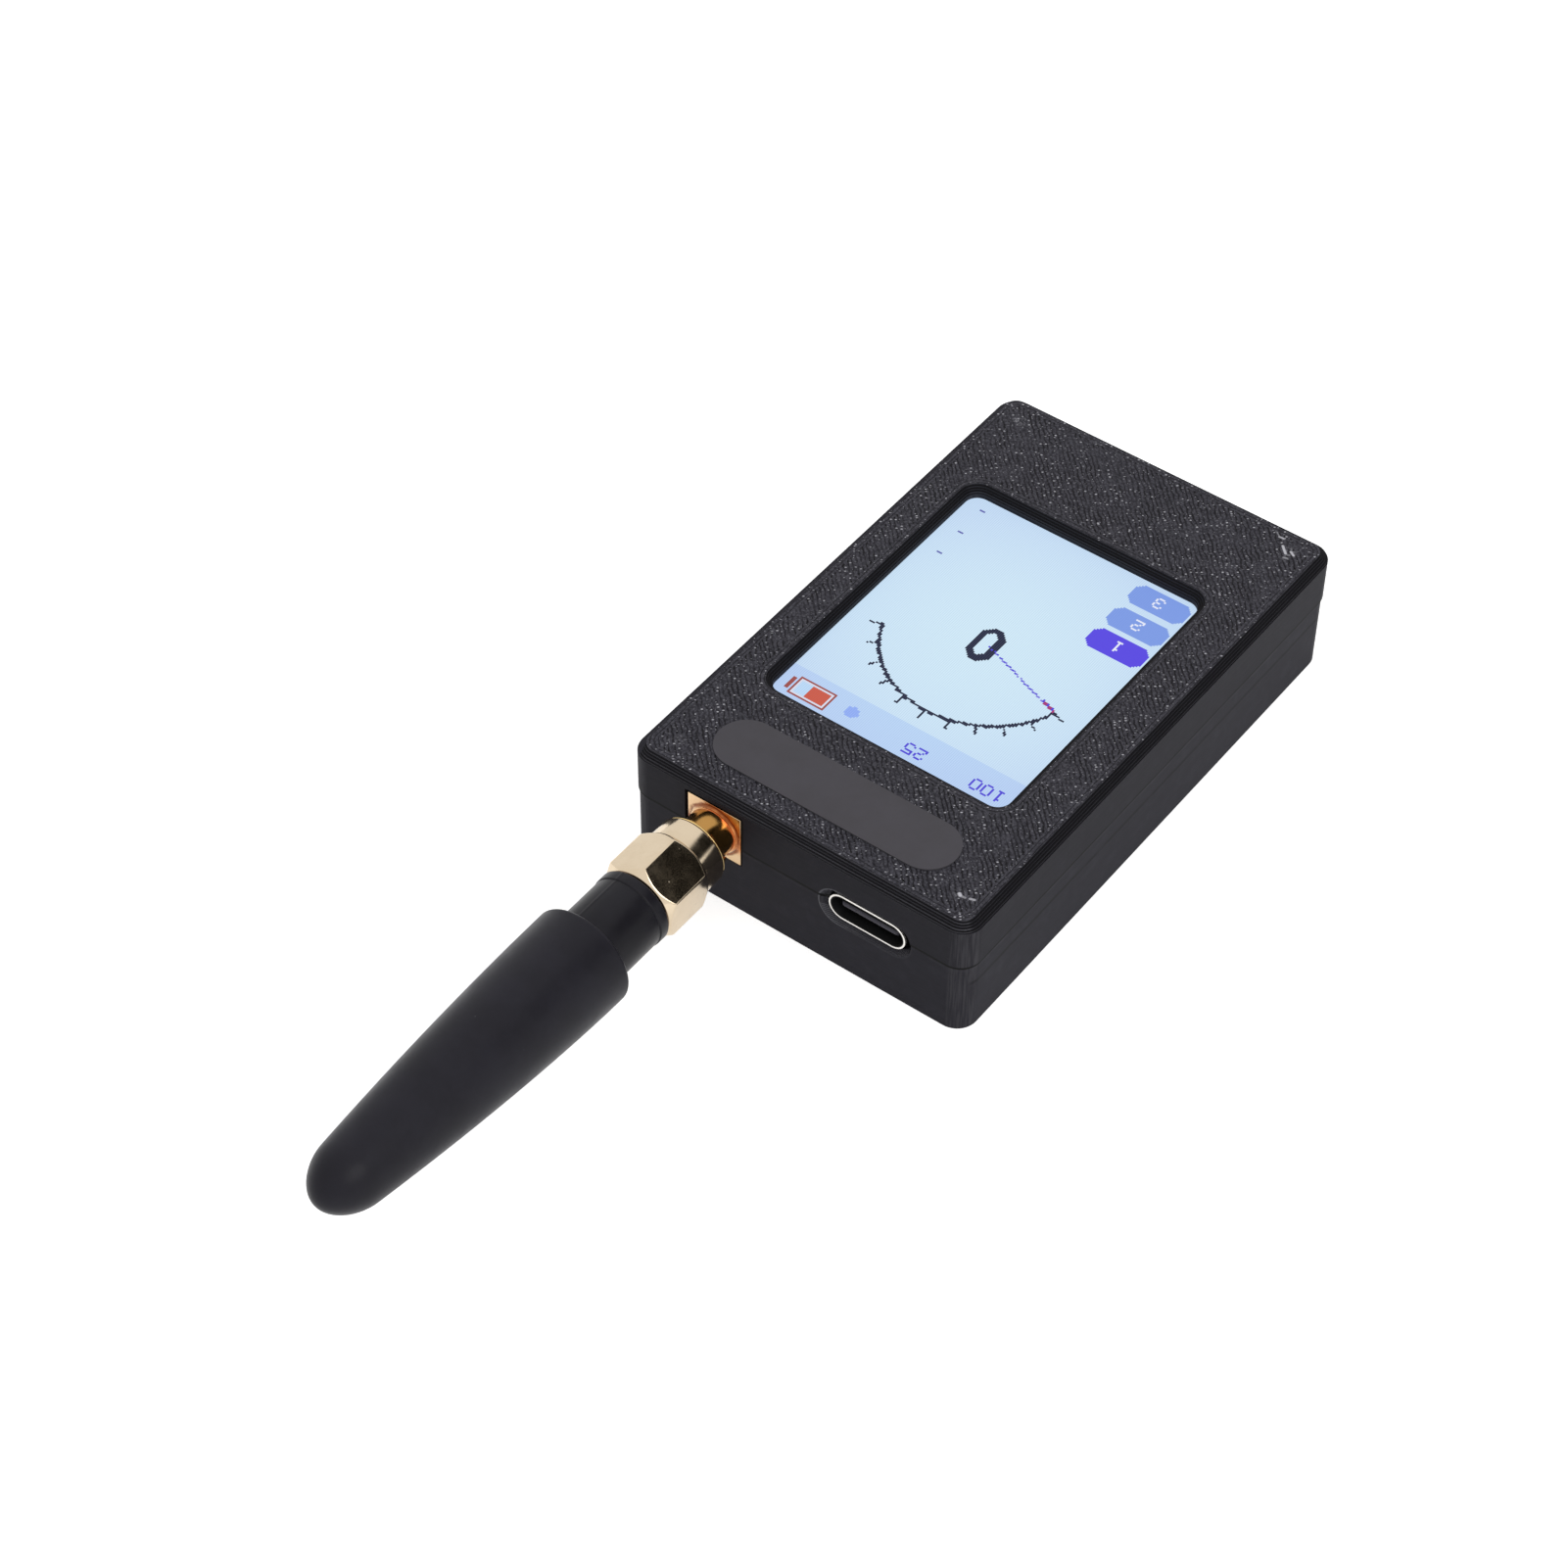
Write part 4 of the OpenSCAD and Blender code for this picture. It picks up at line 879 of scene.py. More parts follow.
picture = blank_picture()
draw_scale(picture)
draw_reading(picture)
for box in BATTERY:
    fill_box(picture, *box)
draw_buttons(picture)
fill_disc(picture, 25.4, -69.3, 3.5, DOT_BLUE)
draw_digits(picture, "100", -58, -75, VIOLET)
draw_digits(picture, "25", -16, -75, VIOLET)
print("picture has", len(picture), "pixels")

# %% [markdown]
# The mesh gets a colour attribute with one colour per face corner, so nothing blurs between two
# pixels. The material reads it as light, and darkens the fine lines between the pixels.

# %% Build the display's picture
def screen_material():
    material, w, shader, place = new_material(
        "lit_pixels", Roughness=0.35, Specular_IOR_Level=0.1, Emission_Strength=0.97)
    colour = w.node("ShaderNodeAttribute", attribute_name="pixel_colour").outputs["Color"]
    x, y, z = w.split(place)

    def gap(position, centre, share):
        cell = w.math("FRACT", w.plus(w.over(w.minus(position, centre), PITCH), 0.5))
        return w.smooth(w.absolute(w.minus(cell, 0.5)), share, 0.5)

    lines = w.larger(gap(x, window_x, 0.30), w.times(gap(y, window_y, 0.36), 0.55))
    dimmed = w.tint(w.times(lines, 0.30), colour, srgb(96, 120, 190))
    w.plug(dimmed, shader.inputs["Emission Color"])
    w.plug(w.tint(lines, (0.012, 0.013, 0.018, 1), (0.006, 0.006, 0.008, 1)),
           shader.inputs["Base Color"])
    return material


def build_screen(picture):
    vertices, faces, colours = [], [], []
    level = (glass_high.z + 0.02) * MM
    for (u, v), colour in picture.items():
        first = len(vertices)
        for du, dv in ((-0.5, -0.5), (-0.5, 0.5), (0.5, 0.5), (0.5, -0.5)):
            vertices.append(((window_x - (u + du) * PITCH) * MM,
                             (window_y + (v + dv) * PITCH) * MM, level))
        faces.append((first, first + 3, first + 2, first + 1))
        colours.append(srgb(*colour))
    mesh = bpy.data.meshes.new("screen_picture")
    mesh.from_pydata(vertices, [], faces)
    paint = mesh.color_attributes.new("pixel_colour", "FLOAT_COLOR", "CORNER")
    paint.data.foreach_set("color", [channel for colour in colours for _ in range(4)
                                     for channel in colour])
    return mesh


def place_piece(name, mesh, material, body, slot, *replaced):
    """Puts a finished mesh into the scene as a piece that rides on a CAD body."""
    piece = add_object(name, mesh)
    mesh.materials.clear()
    mesh.materials.append(material)
    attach(piece, body)
    if replaced:
        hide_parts(*replaced)
    print(f"{name}: {len(mesh.polygons)} faces on {body}")
    return piece


place_piece("screen_picture", build_screen(picture), screen_material(), "case", "lcd_glass")

# %% [markdown]
# ## Plated metal
# The socket, the nut and the plug are brass with a thin, pale gold plate. What makes it look like
# metal is what it mirrors, so the material itself stays quiet: a warm tint, low roughness with a
# few handling smears, and hairline turning marks round the antenna's axis.

# %% A shader group of turning marks
def turning_group():
    """Fine rings that a lathe tool leaves across the antenna's axis, which runs along Y."""
    tree, w, source, result = new_group("turning_marks", {"Place": None, "Spacing": 0.08},
                                        ["Rings"])
    x, y, z = w.split(source["Place"])
    along = w.over(y, source["Spacing"])
    rings = w.noise(w.join(w.times(x, 0.02), along, w.times(z, 0.02)), 1.0, 2.0)
    w.plug(rings, result["Rings"])
    return tree


TURNING = turning_group()
print("turning marks are a shader group")

# %% [markdown]
# The socket gets painted reflections of the gold round it: orange above its barrel, and a brown
# ring round it. The nut's bright rim and its grooves are too fine to catch light and shadow well on
# their own, so the material draws them too, at fixed distances from the case's end face.

# %% Plated materials
REFLECTED_RING_R = 3.0
RIM_RING_AT, RIM_GROOVE_AT, LIP_AT = 3.20, 3.37, 12.08


def socket_painted_reflections(w, place, colour):
    """The socket's painted reflections, orange above the barrel and a brown ring round it, and a
    darker barrel.
    """
    x, y, z = w.split(place)
    off_x, off_z = w.minus(x, axis_x), w.minus(z, axis_z)
    from_axis = w.plus(w.hypot(off_x, off_z), w.line(w.noise(place, 0.9), 0.5, -0.25))
    # Painted reflection of the gold: orange above the barrel.
    orange_side = w.times(w.smooth(off_z, -2.2, -0.8),
                   w.smooth(w.line(off_z, 0.5, off_x), -0.8, 1.6, 0.15, 1.0))
    orange_reflection = w.times(w.fade(from_axis, 3.2, 4.0), orange_side)
    colour = w.tint(w.times(orange_reflection, 0.85), colour, srgb(206, 122, 58))
    # Painted reflection: a brown ring round the barrel.
    brown_reflection = w.times(w.fade(w.absolute(w.minus(from_axis, REFLECTED_RING_R)), 0.05, 0.32),
                    w.smooth(w.noise(place, 0.6), 0.35, 0.55, 0.25, 1.0))
    colour = w.tint(w.times(brown_reflection, 0.85), colour, srgb(118, 52, 22))
    barrel = w.smooth(w.minus(front_y, y), 0.25, 0.5)
    return w.tint(w.times(barrel, 0.95), colour, srgb(184, 140, 78))


def nut_lines(w, place, colour):
    """The nut's bright rim ring, and the shadow in the groove behind it and under the lip."""
    out = w.minus(front_y, w.split(place)[1])
    ring = w.fade(w.absolute(w.minus(out, RIM_RING_AT)), 0.06, 0.10)
    groove = w.fade(w.absolute(w.minus(out, RIM_GROOVE_AT)), 0.05, 0.09)
    lip = w.fade(w.absolute(w.minus(out, LIP_AT)), 0.05, 0.09)
    colour = w.tint(ring, colour, srgb(255, 222, 150))
    return w.tint(w.times(w.larger(groove, lip), 0.85), colour, srgb(70, 44, 20))


def plated_material(name, bright, deep, roughness, marks=None):
    material, w, shader, place = new_material(name, Specular_IOR_Level=0.5)
    handling = use_group(w, HANDLING, Place=place, Speck_Spacing=0.7, Speck_Size=0.06)
    dust = handling["Specks"]
    w.plug(w.line(dust, -0.35, 1.0), shader.inputs["Metallic"])
    colour = w.tint(w.times(handling["Film"], 0.5), srgb(*bright), srgb(*deep))
    if marks:
        colour = marks(w, place, colour)
    w.plug(w.tint(w.times(dust, 0.9), colour, srgb(176, 166, 148)), shader.inputs["Base Color"])
    rough = w.line(handling["Film"], 0.07, roughness)
    w.plug(w.line(dust, 0.3, rough), shader.inputs["Roughness"])
    turning = use_group(w, TURNING, Place=place)
    bump(w, shader, w.line(turning["Rings"], 0.6, dust), 0.004)
    return material


PLATE = plated_material("gold_plate", (220, 202, 175), (210, 190, 161), 0.12, nut_lines)
WARM_PLATE = plated_material("warm_plate", (228, 196, 156), (208, 170, 126), 0.14)
SOCKET_PLATE = plated_material(
    "socket_plate", (230, 198, 158), (214, 174, 128), 0.14, socket_painted_reflections)
coat_node("jack_contact", WARM_PLATE)
coat_node("antenna_pin", WARM_PLATE)
print("three plated finishes: the nut's is the palest")

# %% [markdown]
# ## Sheet metal, wire and foil inside the case
# Tinned steel, drawn wire and the battery's foil are the same idea with other values.

# %% Bare metals
def metal_material(name, light, dark, roughness, grain_size, dent_mm):
    material, w, shader, place = new_material(name, Metallic=1.0)
    handling = use_group(w, HANDLING, Place=place, Film_Size=grain_size)
    w.plug(w.tint(handling["Film"], srgb(*light), srgb(*dark)), shader.inputs["Base Color"])
    w.plug(w.line(handling["Film"], 0.15, roughness), shader.inputs["Roughness"])
    bump(w, shader, w.noise(place, 1.0 / grain_size, 3.0), dent_mm)
    return material


TIN = metal_material("tinned_sheet", (214, 213, 210), (186, 185, 183), 0.28, 0.8, 0.01)
WIRE = metal_material("spring_wire", (198, 150, 96), (160, 112, 66), 0.3, 0.6, 0.01)
FOIL = metal_material("pouch_foil", (190, 192, 196), (170, 172, 177), 0.35, 6.0, 0.25)
SCREW_BLACK = metal_material("screw_black", (52, 51, 50), (34, 33, 33), 0.38, 0.5, 0.01)
for node in ("shield_can", "switch_body", "tact_switch"):
    coat_node(node, TIN)
coat_node("antenna_coil", WIRE)
coat_node("battery_cell", FOIL)
print("four bare metals")

# %% [markdown]
# ## Moulded plastic, rubber and film
# One recipe covers the moulded pieces: two close colours in soft clouds, a fine grain in the
# relief, and dust. The antenna's sleeve is a satin rubber, and its foot is a smoother plastic.

# %% Moulded materials
def moulded_material(name, dark, light, roughness, grain_mm, depth_mm, dust, gloss):
    material, w, shader, place = new_material(name, Specular_IOR_Level=gloss)
    handling = use_group(w, HANDLING, Place=place, Film_Size=3.0, Speck_Spacing=1.6)
    cloud = w.noise(place, 0.25, 4.0, 0.6)
    colour = w.tint(w.smooth(cloud, 0.3, 0.7), srgb(*dark), srgb(*light))
    w.plug(w.tint(w.times(handling["Specks"], dust), colour, srgb(150, 150, 152)),
           shader.inputs["Base Color"])
    w.plug(w.line(handling["Film"], 0.1, roughness), shader.inputs["Roughness"])
    grain = w.noise(place, 1.0 / grain_mm, 3.0, 0.6)
    bump(w, shader, w.line(handling["Specks"], 0.3, grain), depth_mm)
    return material


# name, dark and light colour, roughness, grain and its depth in mm, dust, gloss
MOULDED = {row[0]: moulded_material(*row) for row in (
    ("sleeve_rubber", (31, 30, 36), (35, 34, 41), 0.34, 0.10, 0.008, 0.3, 0.14),
    ("foot_plastic", (24, 23, 28), (29, 28, 34), 0.28, 0.25, 0.005, 0.3, 0.17),
    ("control_plastic", (26, 26, 28), (32, 32, 34), 0.40, 0.20, 0.010, 0.0, 0.50),
    ("chip_epoxy", (30, 30, 31), (38, 38, 39), 0.60, 0.08, 0.010, 0.0, 0.50),
    ("label_film", (71, 69, 73), (74, 72, 77), 0.55, 0.12, 0.006, 0.0, 0.12),
    ("connector_ivory", (226, 219, 198), (234, 228, 210), 0.35, 0.40, 0.010, 0.0, 0.50),
    ("ptfe", (236, 236, 231), (243, 243, 239), 0.45, 0.30, 0.010, 0.0, 0.50),
    ("light_guide", (238, 240, 243), (246, 247, 249), 0.30, 0.50, 0.005, 0.0, 0.50),
    ("foam_tape", (52, 52, 54), (66, 66, 68), 0.90, 0.15, 0.080, 0.0, 0.20),
    ("seal_rubber", (150, 40, 30), (168, 48, 36), 0.45, 0.20, 0.010, 0.0, 0.50),
    ("lead_red", (176, 28, 26), (194, 34, 30), 0.40, 0.30, 0.010, 0.0, 0.50),
    ("lead_black", (24, 24, 25), (31, 31, 32), 0.40, 0.30, 0.010, 0.0, 0.50),
    ("flex_film", (176, 112, 44), (196, 130, 58), 0.25, 0.60, 0.004, 0.0, 0.50))}
FINISHES = {
    "tact_plunger": "control_plastic", "microcontroller": "chip_epoxy", "board_parts": "chip_epoxy",
    "blank_label": "label_film", "battery_socket": "connector_ivory",
    "battery_plug": "connector_ivory", "antenna_insulator": "ptfe", "lcd_backlight": "light_guide",
    "battery_pad": "foam_tape", "battery_lead_red": "lead_red",
    "battery_lead_black": "lead_black", "lcd_flex": "flex_film",
}
for node, finish in FINISHES.items():
    coat_node(node, MOULDED[finish])
print(len(FINISHES), "moulded nodes have their finish")

# %% [markdown]
# ## Circuit board and display glass
# The board wears a green solder mask over copper: tracks show as a slightly lighter green on a
# grid. The display's glass is dark and glossy where the picture doesn't cover it.

# %% Board and glass
TRACK_GRID = 1.27


def board_material():
    material, w, shader, place = new_material("solder_mask", Roughness=0.3)
    columns, rows = (w.over(along, TRACK_GRID) for along in w.split(place)[:2])
    cell = w.join(w.math("FLOOR", columns), w.math("FLOOR", rows), 0.0)
    pick = w.node("ShaderNodeTexWhiteNoise", {"Vector": cell}, noise_dimensions="2D").outputs[0]
    across, along = (w.absolute(w.minus(w.math("FRACT", v), 0.5)) for v in (columns, rows))
    upright = w.math("GREATER_THAN", pick, 0.5)
    off = w.plus(w.times(across, upright), w.times(along, w.minus(1.0, upright)))
    track = w.fade(off, 0.10, 0.14)
    w.plug(w.tint(track, srgb(14, 70, 42), srgb(34, 104, 62)), shader.inputs["Base Color"])
    bump(w, shader, track, 0.03)
    return material


def glass_material():
    material, w, shader, place = new_material(
        "panel_glass", Specular_IOR_Level=0.5, Coat_Weight=0.3)
    cloud = w.noise(place, 0.3)
    w.plug(w.tint(cloud, srgb(13, 14, 18), srgb(19, 20, 25)), shader.inputs["Base Color"])
    w.plug(w.line(cloud, 0.05, 0.08), shader.inputs["Roughness"])
    return material


coat_node("main_board", board_material())
coat_node("lcd_glass", glass_material())
print("board and glass are coated")

# %% [markdown]
# ## Growing meshes with Geometry Nodes
# Threads, screws, contact rows and every turned piece repeat something or follow a path, and that
# is work for a Geometry Nodes tree. Each tree below has named inputs, runs once on a start mesh and
# leaves a plain mesh behind. The first one is a lathe: it sweeps an outline round a tiny circle, so
# that a radius of zero closes into a point on the axis.

# %% Helpers for trees and meshes
def lengths(**sizes):
    """Inputs of a tree that are lengths, given here in millimetres."""
    return {label.replace("_", " "): ("Float", size * MM) for label, size in sizes.items()}


def new_geometry_tree(name, inputs):
    """A Geometry Nodes tree with named inputs, its wiring and its two ends."""
    tree = bpy.data.node_groups.new(name, "GeometryNodeTree")
    tree.interface.new_socket(name="Geometry", in_out="INPUT", socket_type="NodeSocketGeometry")
    for label, (kind, value) in inputs.items():
        socket = tree.interface.new_socket(
            name=label, in_out="INPUT", socket_type="NodeSocket" + kind)
        if value is not None:
            socket.default_value = value
    tree.interface.new_socket(name="Geometry", in_out="OUTPUT", socket_type="NodeSocketGeometry")
    wiring = Wiring(tree)
    return tree, wiring, wiring.node("NodeGroupInput").outputs, wiring.node("NodeGroupOutput")


def finish_tree(w, geometry, material, end):
    real = w.shape("RealizeInstances", {0: geometry})
    coated = w.shape("SetMaterial", {"Geometry": real, "Material": material})
    w.plug(coated, end.inputs[0])


def evaluated_copy(thing, name):
    """A plain mesh of an object with all its modifiers applied. The object is removed."""
    bpy.context.view_layer.update()
    seen = thing.evaluated_get(bpy.context.evaluated_depsgraph_get())
    mesh = bpy.data.meshes.new_from_object(seen)
    mesh.name = name
    thing.modifiers.clear()
    bpy.data.objects.remove(thing)
    return mesh


def grow(name, tree, start_mesh, values):
    """Runs a tree on a mesh and returns a plain mesh. Inputs that aren't named keep their value."""
    grower = add_object(name, start_mesh)
    modifier = grower.modifiers.new("tree", "NODES")
    modifier.node_group = tree
    identifiers = {item.name: item.identifier for item in tree.interface.items_tree
                   if item.in_out == "INPUT"}
    for label, value in values.items():
        modifier[identifiers[label]] = value
    return evaluated_copy(grower, name)


def settle(mesh, sharp=32):
    """Faces outward, smooth shading, and hard edges only where the surface turns sharply."""
    work = bmesh.new()
    work.from_mesh(mesh)
    if work.calc_volume(signed=True) < 0:
        bmesh.ops.reverse_faces(work, faces=work.faces)
    work.to_mesh(mesh)
    work.free()
    mesh.shade_smooth()
    mesh.set_sharp_from_angle(angle=math.radians(sharp))
    return mesh


def soften(points, radius, closed=True):
    """The same outline with each corner rounded off by four points."""
    count, soft = len(points), []
    for i, point in enumerate(points):
        if not closed and i in (0, count - 1):
            soft.append(tuple(point))
            continue
        here = Vector(point)
        back, on = Vector(points[i - 1]) - here, Vector(points[(i + 1) % count]) - here
        start = here + back.normalized() * min(radius, 0.4 * back.length)
        stop = here + on.normalized() * min(radius, 0.4 * on.length)
        for share in (0, 1 / 3, 2 / 3, 1):
            soft.append(tuple(start * (1 - share) ** 2 + here * 2 * share * (1 - share)
                              + stop * share ** 2))
    return soft


def outline_mesh(points, closed=True):
    """Edges through (radius, distance) pairs, in the form that the lathe tree reads."""
    mesh = bpy.data.meshes.new("outline")
    edges = [(i, i + 1) for i in range(len(points) - 1)]
    if closed:
        edges.append((len(points) - 1, 0))
    mesh.from_pydata([(radius * MM, -distance * MM, 0) for radius, distance in points], edges, [])
    return mesh


print("helpers for trees and meshes are ready")

# %% [markdown]
# The lathe is a tree of its own, so that the screws and the sleeve below can use it too. Pieces on
# the antenna's axis are built upright, along Z, and laid down by one matrix.

# %% The lathe
ON_AXIS = 0.0003


def lathe_group():
    """Turns curves that lie in the XY plane, as (radius, -distance), about the Z axis."""
    tree, w, source, end = new_geometry_tree("lathe", {"Sides": ("Int", 96)})
    outline = w.shape("Transform", {"Geometry": source["Geometry"], "Translation": (-MM, 0, 0)})
    circle = w.shape("CurvePrimitiveCircle", {"Resolution": source["Sides"], "Radius": MM})
    circle = w.shape("SetCurveNormal", {"Curve": circle}, mode="Z_UP")
    turned = w.shape("CurveToMesh", {"Curve": circle, "Profile Curve": outline})
    merged = w.shape("MergeByDistance", {"Geometry": turned, "Distance": ON_AXIS * MM})
    w.plug(merged, end.inputs[0])
    return tree


def turned_tree(lathe):
    tree, w, source, end = new_geometry_tree("turned_piece", {
        "Sides": ("Int", 160), "Material": ("Material", None)})
    outline = w.shape("MeshToCurve", {"Mesh": source["Geometry"]})
    turned = w.shape("Group", {"Geometry": outline, "Sides": source["Sides"]}, node_tree=lathe)
    finish_tree(w, turned, source["Material"], end)
    return tree


LATHE = lathe_group()
TURNED_TREE = turned_tree(LATHE)
ALONG_ANTENNA = Matrix.Translation(Vector((axis_x, front_y, axis_z)) * MM) @ Matrix.Rotation(
    math.radians(90), 4, "X")


def turned(name, points, material, closed=True, sides=160):
    """A turned piece in local axes, Z outward along the antenna from the case's end face."""
    mesh = grow(name, TURNED_TREE, outline_mesh(points, closed), {
        "Sides": sides, "Material": material})
    return settle(mesh)


print(f"antenna axis at x {axis_x:.2f}, z {axis_z:.2f}")

# %% [markdown]
# ## The plug's turned pieces
# CAD meshes show their flat facets on such small shiny cylinders. These outlines repeat the CAD
# sizes, with every corner rounded a little, because a real edge always catches a thin highlight.

# %% Turn the plug and the seal
TURNED_PIECES = (
    ("plug_body", "antenna_ferrule", "antenna", "gold_plate", WARM_PLATE, (
        (1.92, 7.45), (2.18, 7.45), (2.28, 7.55), (2.28, 10.15), (3.05, 10.15), (3.05, 10.90),
        (2.5, 10.90), (2.5, 18.3), (1.92, 18.3))),
    ("seal", "seal_ring", "seal", "seal_rubber", MOULDED["seal_rubber"], (
        (2.33, 9.45), (3.1, 9.45), (3.1, 10.10), (2.33, 10.10))),
    ("socket_insulator", "jack_insulator", "case", "ptfe", MOULDED["ptfe"], (
        (0.66, -1.7), (2.05, -1.7), (2.05, 7.40), (0.66, 7.40))),
)
for name, node, body, slot, material, points in TURNED_PIECES:
    mesh = turned(name, soften(points, 0.05), material)
    mesh.transform(ALONG_ANTENNA)
    place_piece(name, mesh, material, body, slot, node)

# %% [markdown]
# ## Foot of the antenna
# The moulded foot has a collar, a fine groove behind it, a bare neck and a spigot inside the
# sleeve. The mould's parting seam runs along the collar and the neck. It is a ridge a few
# hundredths high, raised after turning on the vertices that lie near its angle.

# %% Turn the foot and raise its seam
FOOT_OUTLINE = (
    (2.52, 12.35), (4.06, 12.35), (4.12, 12.41), (4.10, 13.44), (3.98, 13.52), (4.02, 13.62),
    (4.02, 19.88), (3.325, 19.88), (3.325, 26.9), (1.0, 26.9), (1.0, 18.35), (2.52, 18.35))
SEAM_ANGLE, SEAM_WIDTH, SEAM_RISE = math.radians(107), math.radians(1.6), 0.04
SEAM_FROM_R = 3.9


def raise_seam(mesh):
    raised = 0
    for vertex in mesh.vertices:
        radius = math.hypot(vertex.co.x, vertex.co.y) / MM
        if radius > SEAM_FROM_R:
            off = math.atan2(vertex.co.y, vertex.co.x) - SEAM_ANGLE
            lift = SEAM_RISE * math.exp(-(off / SEAM_WIDTH) ** 2)
            raised += lift > 0.01
            vertex.co.x *= 1 + lift / radius
            vertex.co.y *= 1 + lift / radius
    return raised


FOOT = MOULDED["foot_plastic"]
foot = turned("antenna_foot", soften(FOOT_OUTLINE, 0.04), FOOT, sides=240)
print("seam vertices raised:", raise_seam(foot))
foot.transform(ALONG_ANTENNA)
place_piece("antenna_foot", foot, FOOT, "antenna", "antenna_plastic", "antenna_base")

# %% [markdown]
# ## Tapered rubber sleeve
# The sleeve's shape is a rule: its diameter falls with the 1.75th power of the distance, and an
# ellipse closes the tip. The tree draws that curve from its named inputs, joins the inside outline
# that comes with the start mesh, turns both on the lathe and bends the free end a little, as
# rubber sleeves do in a drawer.

# %% Grow the sleeve
SLEEVE_AT = 19.9
SLEEVE_R, SLEEVE_RIM = 5.475, 0.45
TAPER_POWER, BEND_POWER = 1.75, 1.3
BEND_TOWARDS = (-0.874, 0.486)


def sleeve_tree(lathe):
    tree, w, source, end = new_geometry_tree("tapered_sleeve", {
        **lengths(Thick_Radius=SLEEVE_R, Lost_Radius=2.3, Length=37.3, Tip_Length=4.5,
                  Rim=SLEEVE_RIM, Bend=0.57, Bend_Start=2.1),
        "Rings": ("Int", 200), "Sides": ("Int", 160), "Material": ("Material", None)})

    def quarter_circle(share):
        """Height of a circle of radius 1 over a share of its radius."""
        return w.math("SQRT", w.larger(w.minus(1.0, w.times(share, share)), 0.0))

    line = w.shape("CurvePrimitiveLine", {"End": (0, 0, 1)})
    line = w.shape("ResampleCurve", {"Curve": line, "Count": source["Rings"]})
    share = w.node("GeometryNodeSplineParameter").outputs["Factor"]
    eased = w.times(w.times(share, share), w.line(share, -2.0, 3.0))
    along = w.times(eased, source["Length"])
    taper = w.times(w.math("POWER", eased, TAPER_POWER), source["Lost Radius"])
    into_tip = w.plus(w.minus(along, source["Length"]), source["Tip Length"])
    into_tip = w.larger(w.over(into_tip, source["Tip Length"]), 0.0)
    radius = w.times(w.minus(source["Thick Radius"], taper), quarter_circle(into_tip))
    to_rim = w.larger(w.minus(1.0, w.over(along, source["Rim"])), 0.0)
    rounding = w.minus(1.0, quarter_circle(to_rim))
    radius = w.minus(radius, w.times(rounding, source["Rim"]))
    skin = w.shape("SetPosition", {
        "Geometry": line, "Position": w.join(radius, w.times(along, -1.0), 0.0)})
    inside = w.shape("MeshToCurve", {"Mesh": source["Geometry"]})
    turned = w.shape("Group", {
        "Geometry": w.joined(skin, inside), "Sides": source["Sides"]}, node_tree=lathe)
    z = w.split(w.shape("InputPosition"))[2]
    past = w.larger(w.minus(z, source["Bend Start"]), 0.0)
    past = w.over(past, w.minus(source["Length"], source["Bend Start"]))
    off = w.times(w.math("POWER", past, BEND_POWER), source["Bend"])
    bent = w.shape("SetPosition", {
        "Geometry": turned,
        "Offset": w.join(*(w.times(off, share) for share in BEND_TOWARDS), 0.0)})
    finish_tree(w, bent, source["Material"], end)
    return tree


SLEEVE = MOULDED["sleeve_rubber"]
sleeve_low, sleeve_high = corners("antenna_sleeve")
sleeve_l = sleeve_high.y - sleeve_low.y
inside = ((0, 30.8), (2.45, 28.8), (2.45, 7.05), (3.345, 7.05), (3.345, 0),
          (SLEEVE_R - SLEEVE_RIM, 0))
sleeve = settle(grow("antenna_rubber", sleeve_tree(LATHE), outline_mesh(inside, closed=False), {
    "Length": sleeve_l * MM, "Material": SLEEVE}))
sleeve.transform(ALONG_ANTENNA @ Matrix.Translation((0, 0, SLEEVE_AT * MM)))
place_piece("antenna_rubber", sleeve, SLEEVE, "antenna", "antenna_rubber", "antenna_sleeve")
print(f"sleeve {sleeve_l:.1f} mm long from {SLEEVE_AT} mm")

# %% [markdown]
# ## Coupling nut
# A hexagon that grows out of a round sleeve is built as columns round the axis: each column is the
# nut's outline at its own angle, because the distance to a flat face changes with the angle. The
# columns stand closer at the six corners, where a small round edge catches the light.

# %% Build the nut from columns
HEX_HALF, HEX_TURN, HEX_ROUND = 4.0, 25.0, 0.30
HEX_START, HEX_END, HEX_FOOT = 5.75, 12.2, 3.669
CORNER_STEPS, FACE_STEP = (0, 0.4, 0.8, 1.2, 1.575), 2.5


def hex_radius(from_corner):
    """Distance from the axis to the round-cornered hexagon, at an angle from its corner."""
    off = math.radians(from_corner)
    centre = (HEX_HALF - HEX_ROUND) / math.cos(math.radians(30))
    tangent = math.atan2(HEX_ROUND / 2, centre + HEX_ROUND * math.cos(math.radians(30)))
    if abs(off) < tangent:
        return centre * math.cos(off) + math.sqrt(HEX_ROUND ** 2 - (centre * math.sin(off)) ** 2)
    return HEX_HALF / math.cos(math.radians(30) - abs(off))


def nut_outline(radius):
    rise = radius - HEX_FOOT
    rear = soften(((3.40, 3.10), (3.60, 3.10), (3.70, 3.19), (3.70, 3.28), (3.58, 3.32),
                   (3.58, 3.42), (3.80, 3.46), (3.85, 3.52), (3.85, 5.93)), 0.03, closed=False)
    hexagon = soften(((3.85, 5.93), (radius, HEX_START + rise), (radius, HEX_END - rise),
                      (HEX_FOOT, HEX_END)), 0.14, closed=False)
    bore = soften(((HEX_FOOT, HEX_END), (2.55, HEX_END), (2.55, 10.95), (3.2, 10.95), (3.2, 3.34),
                   (3.40, 3.10)), 0.035, closed=False)
    return rear[:-1] + hexagon[:-1] + bore[:-1]


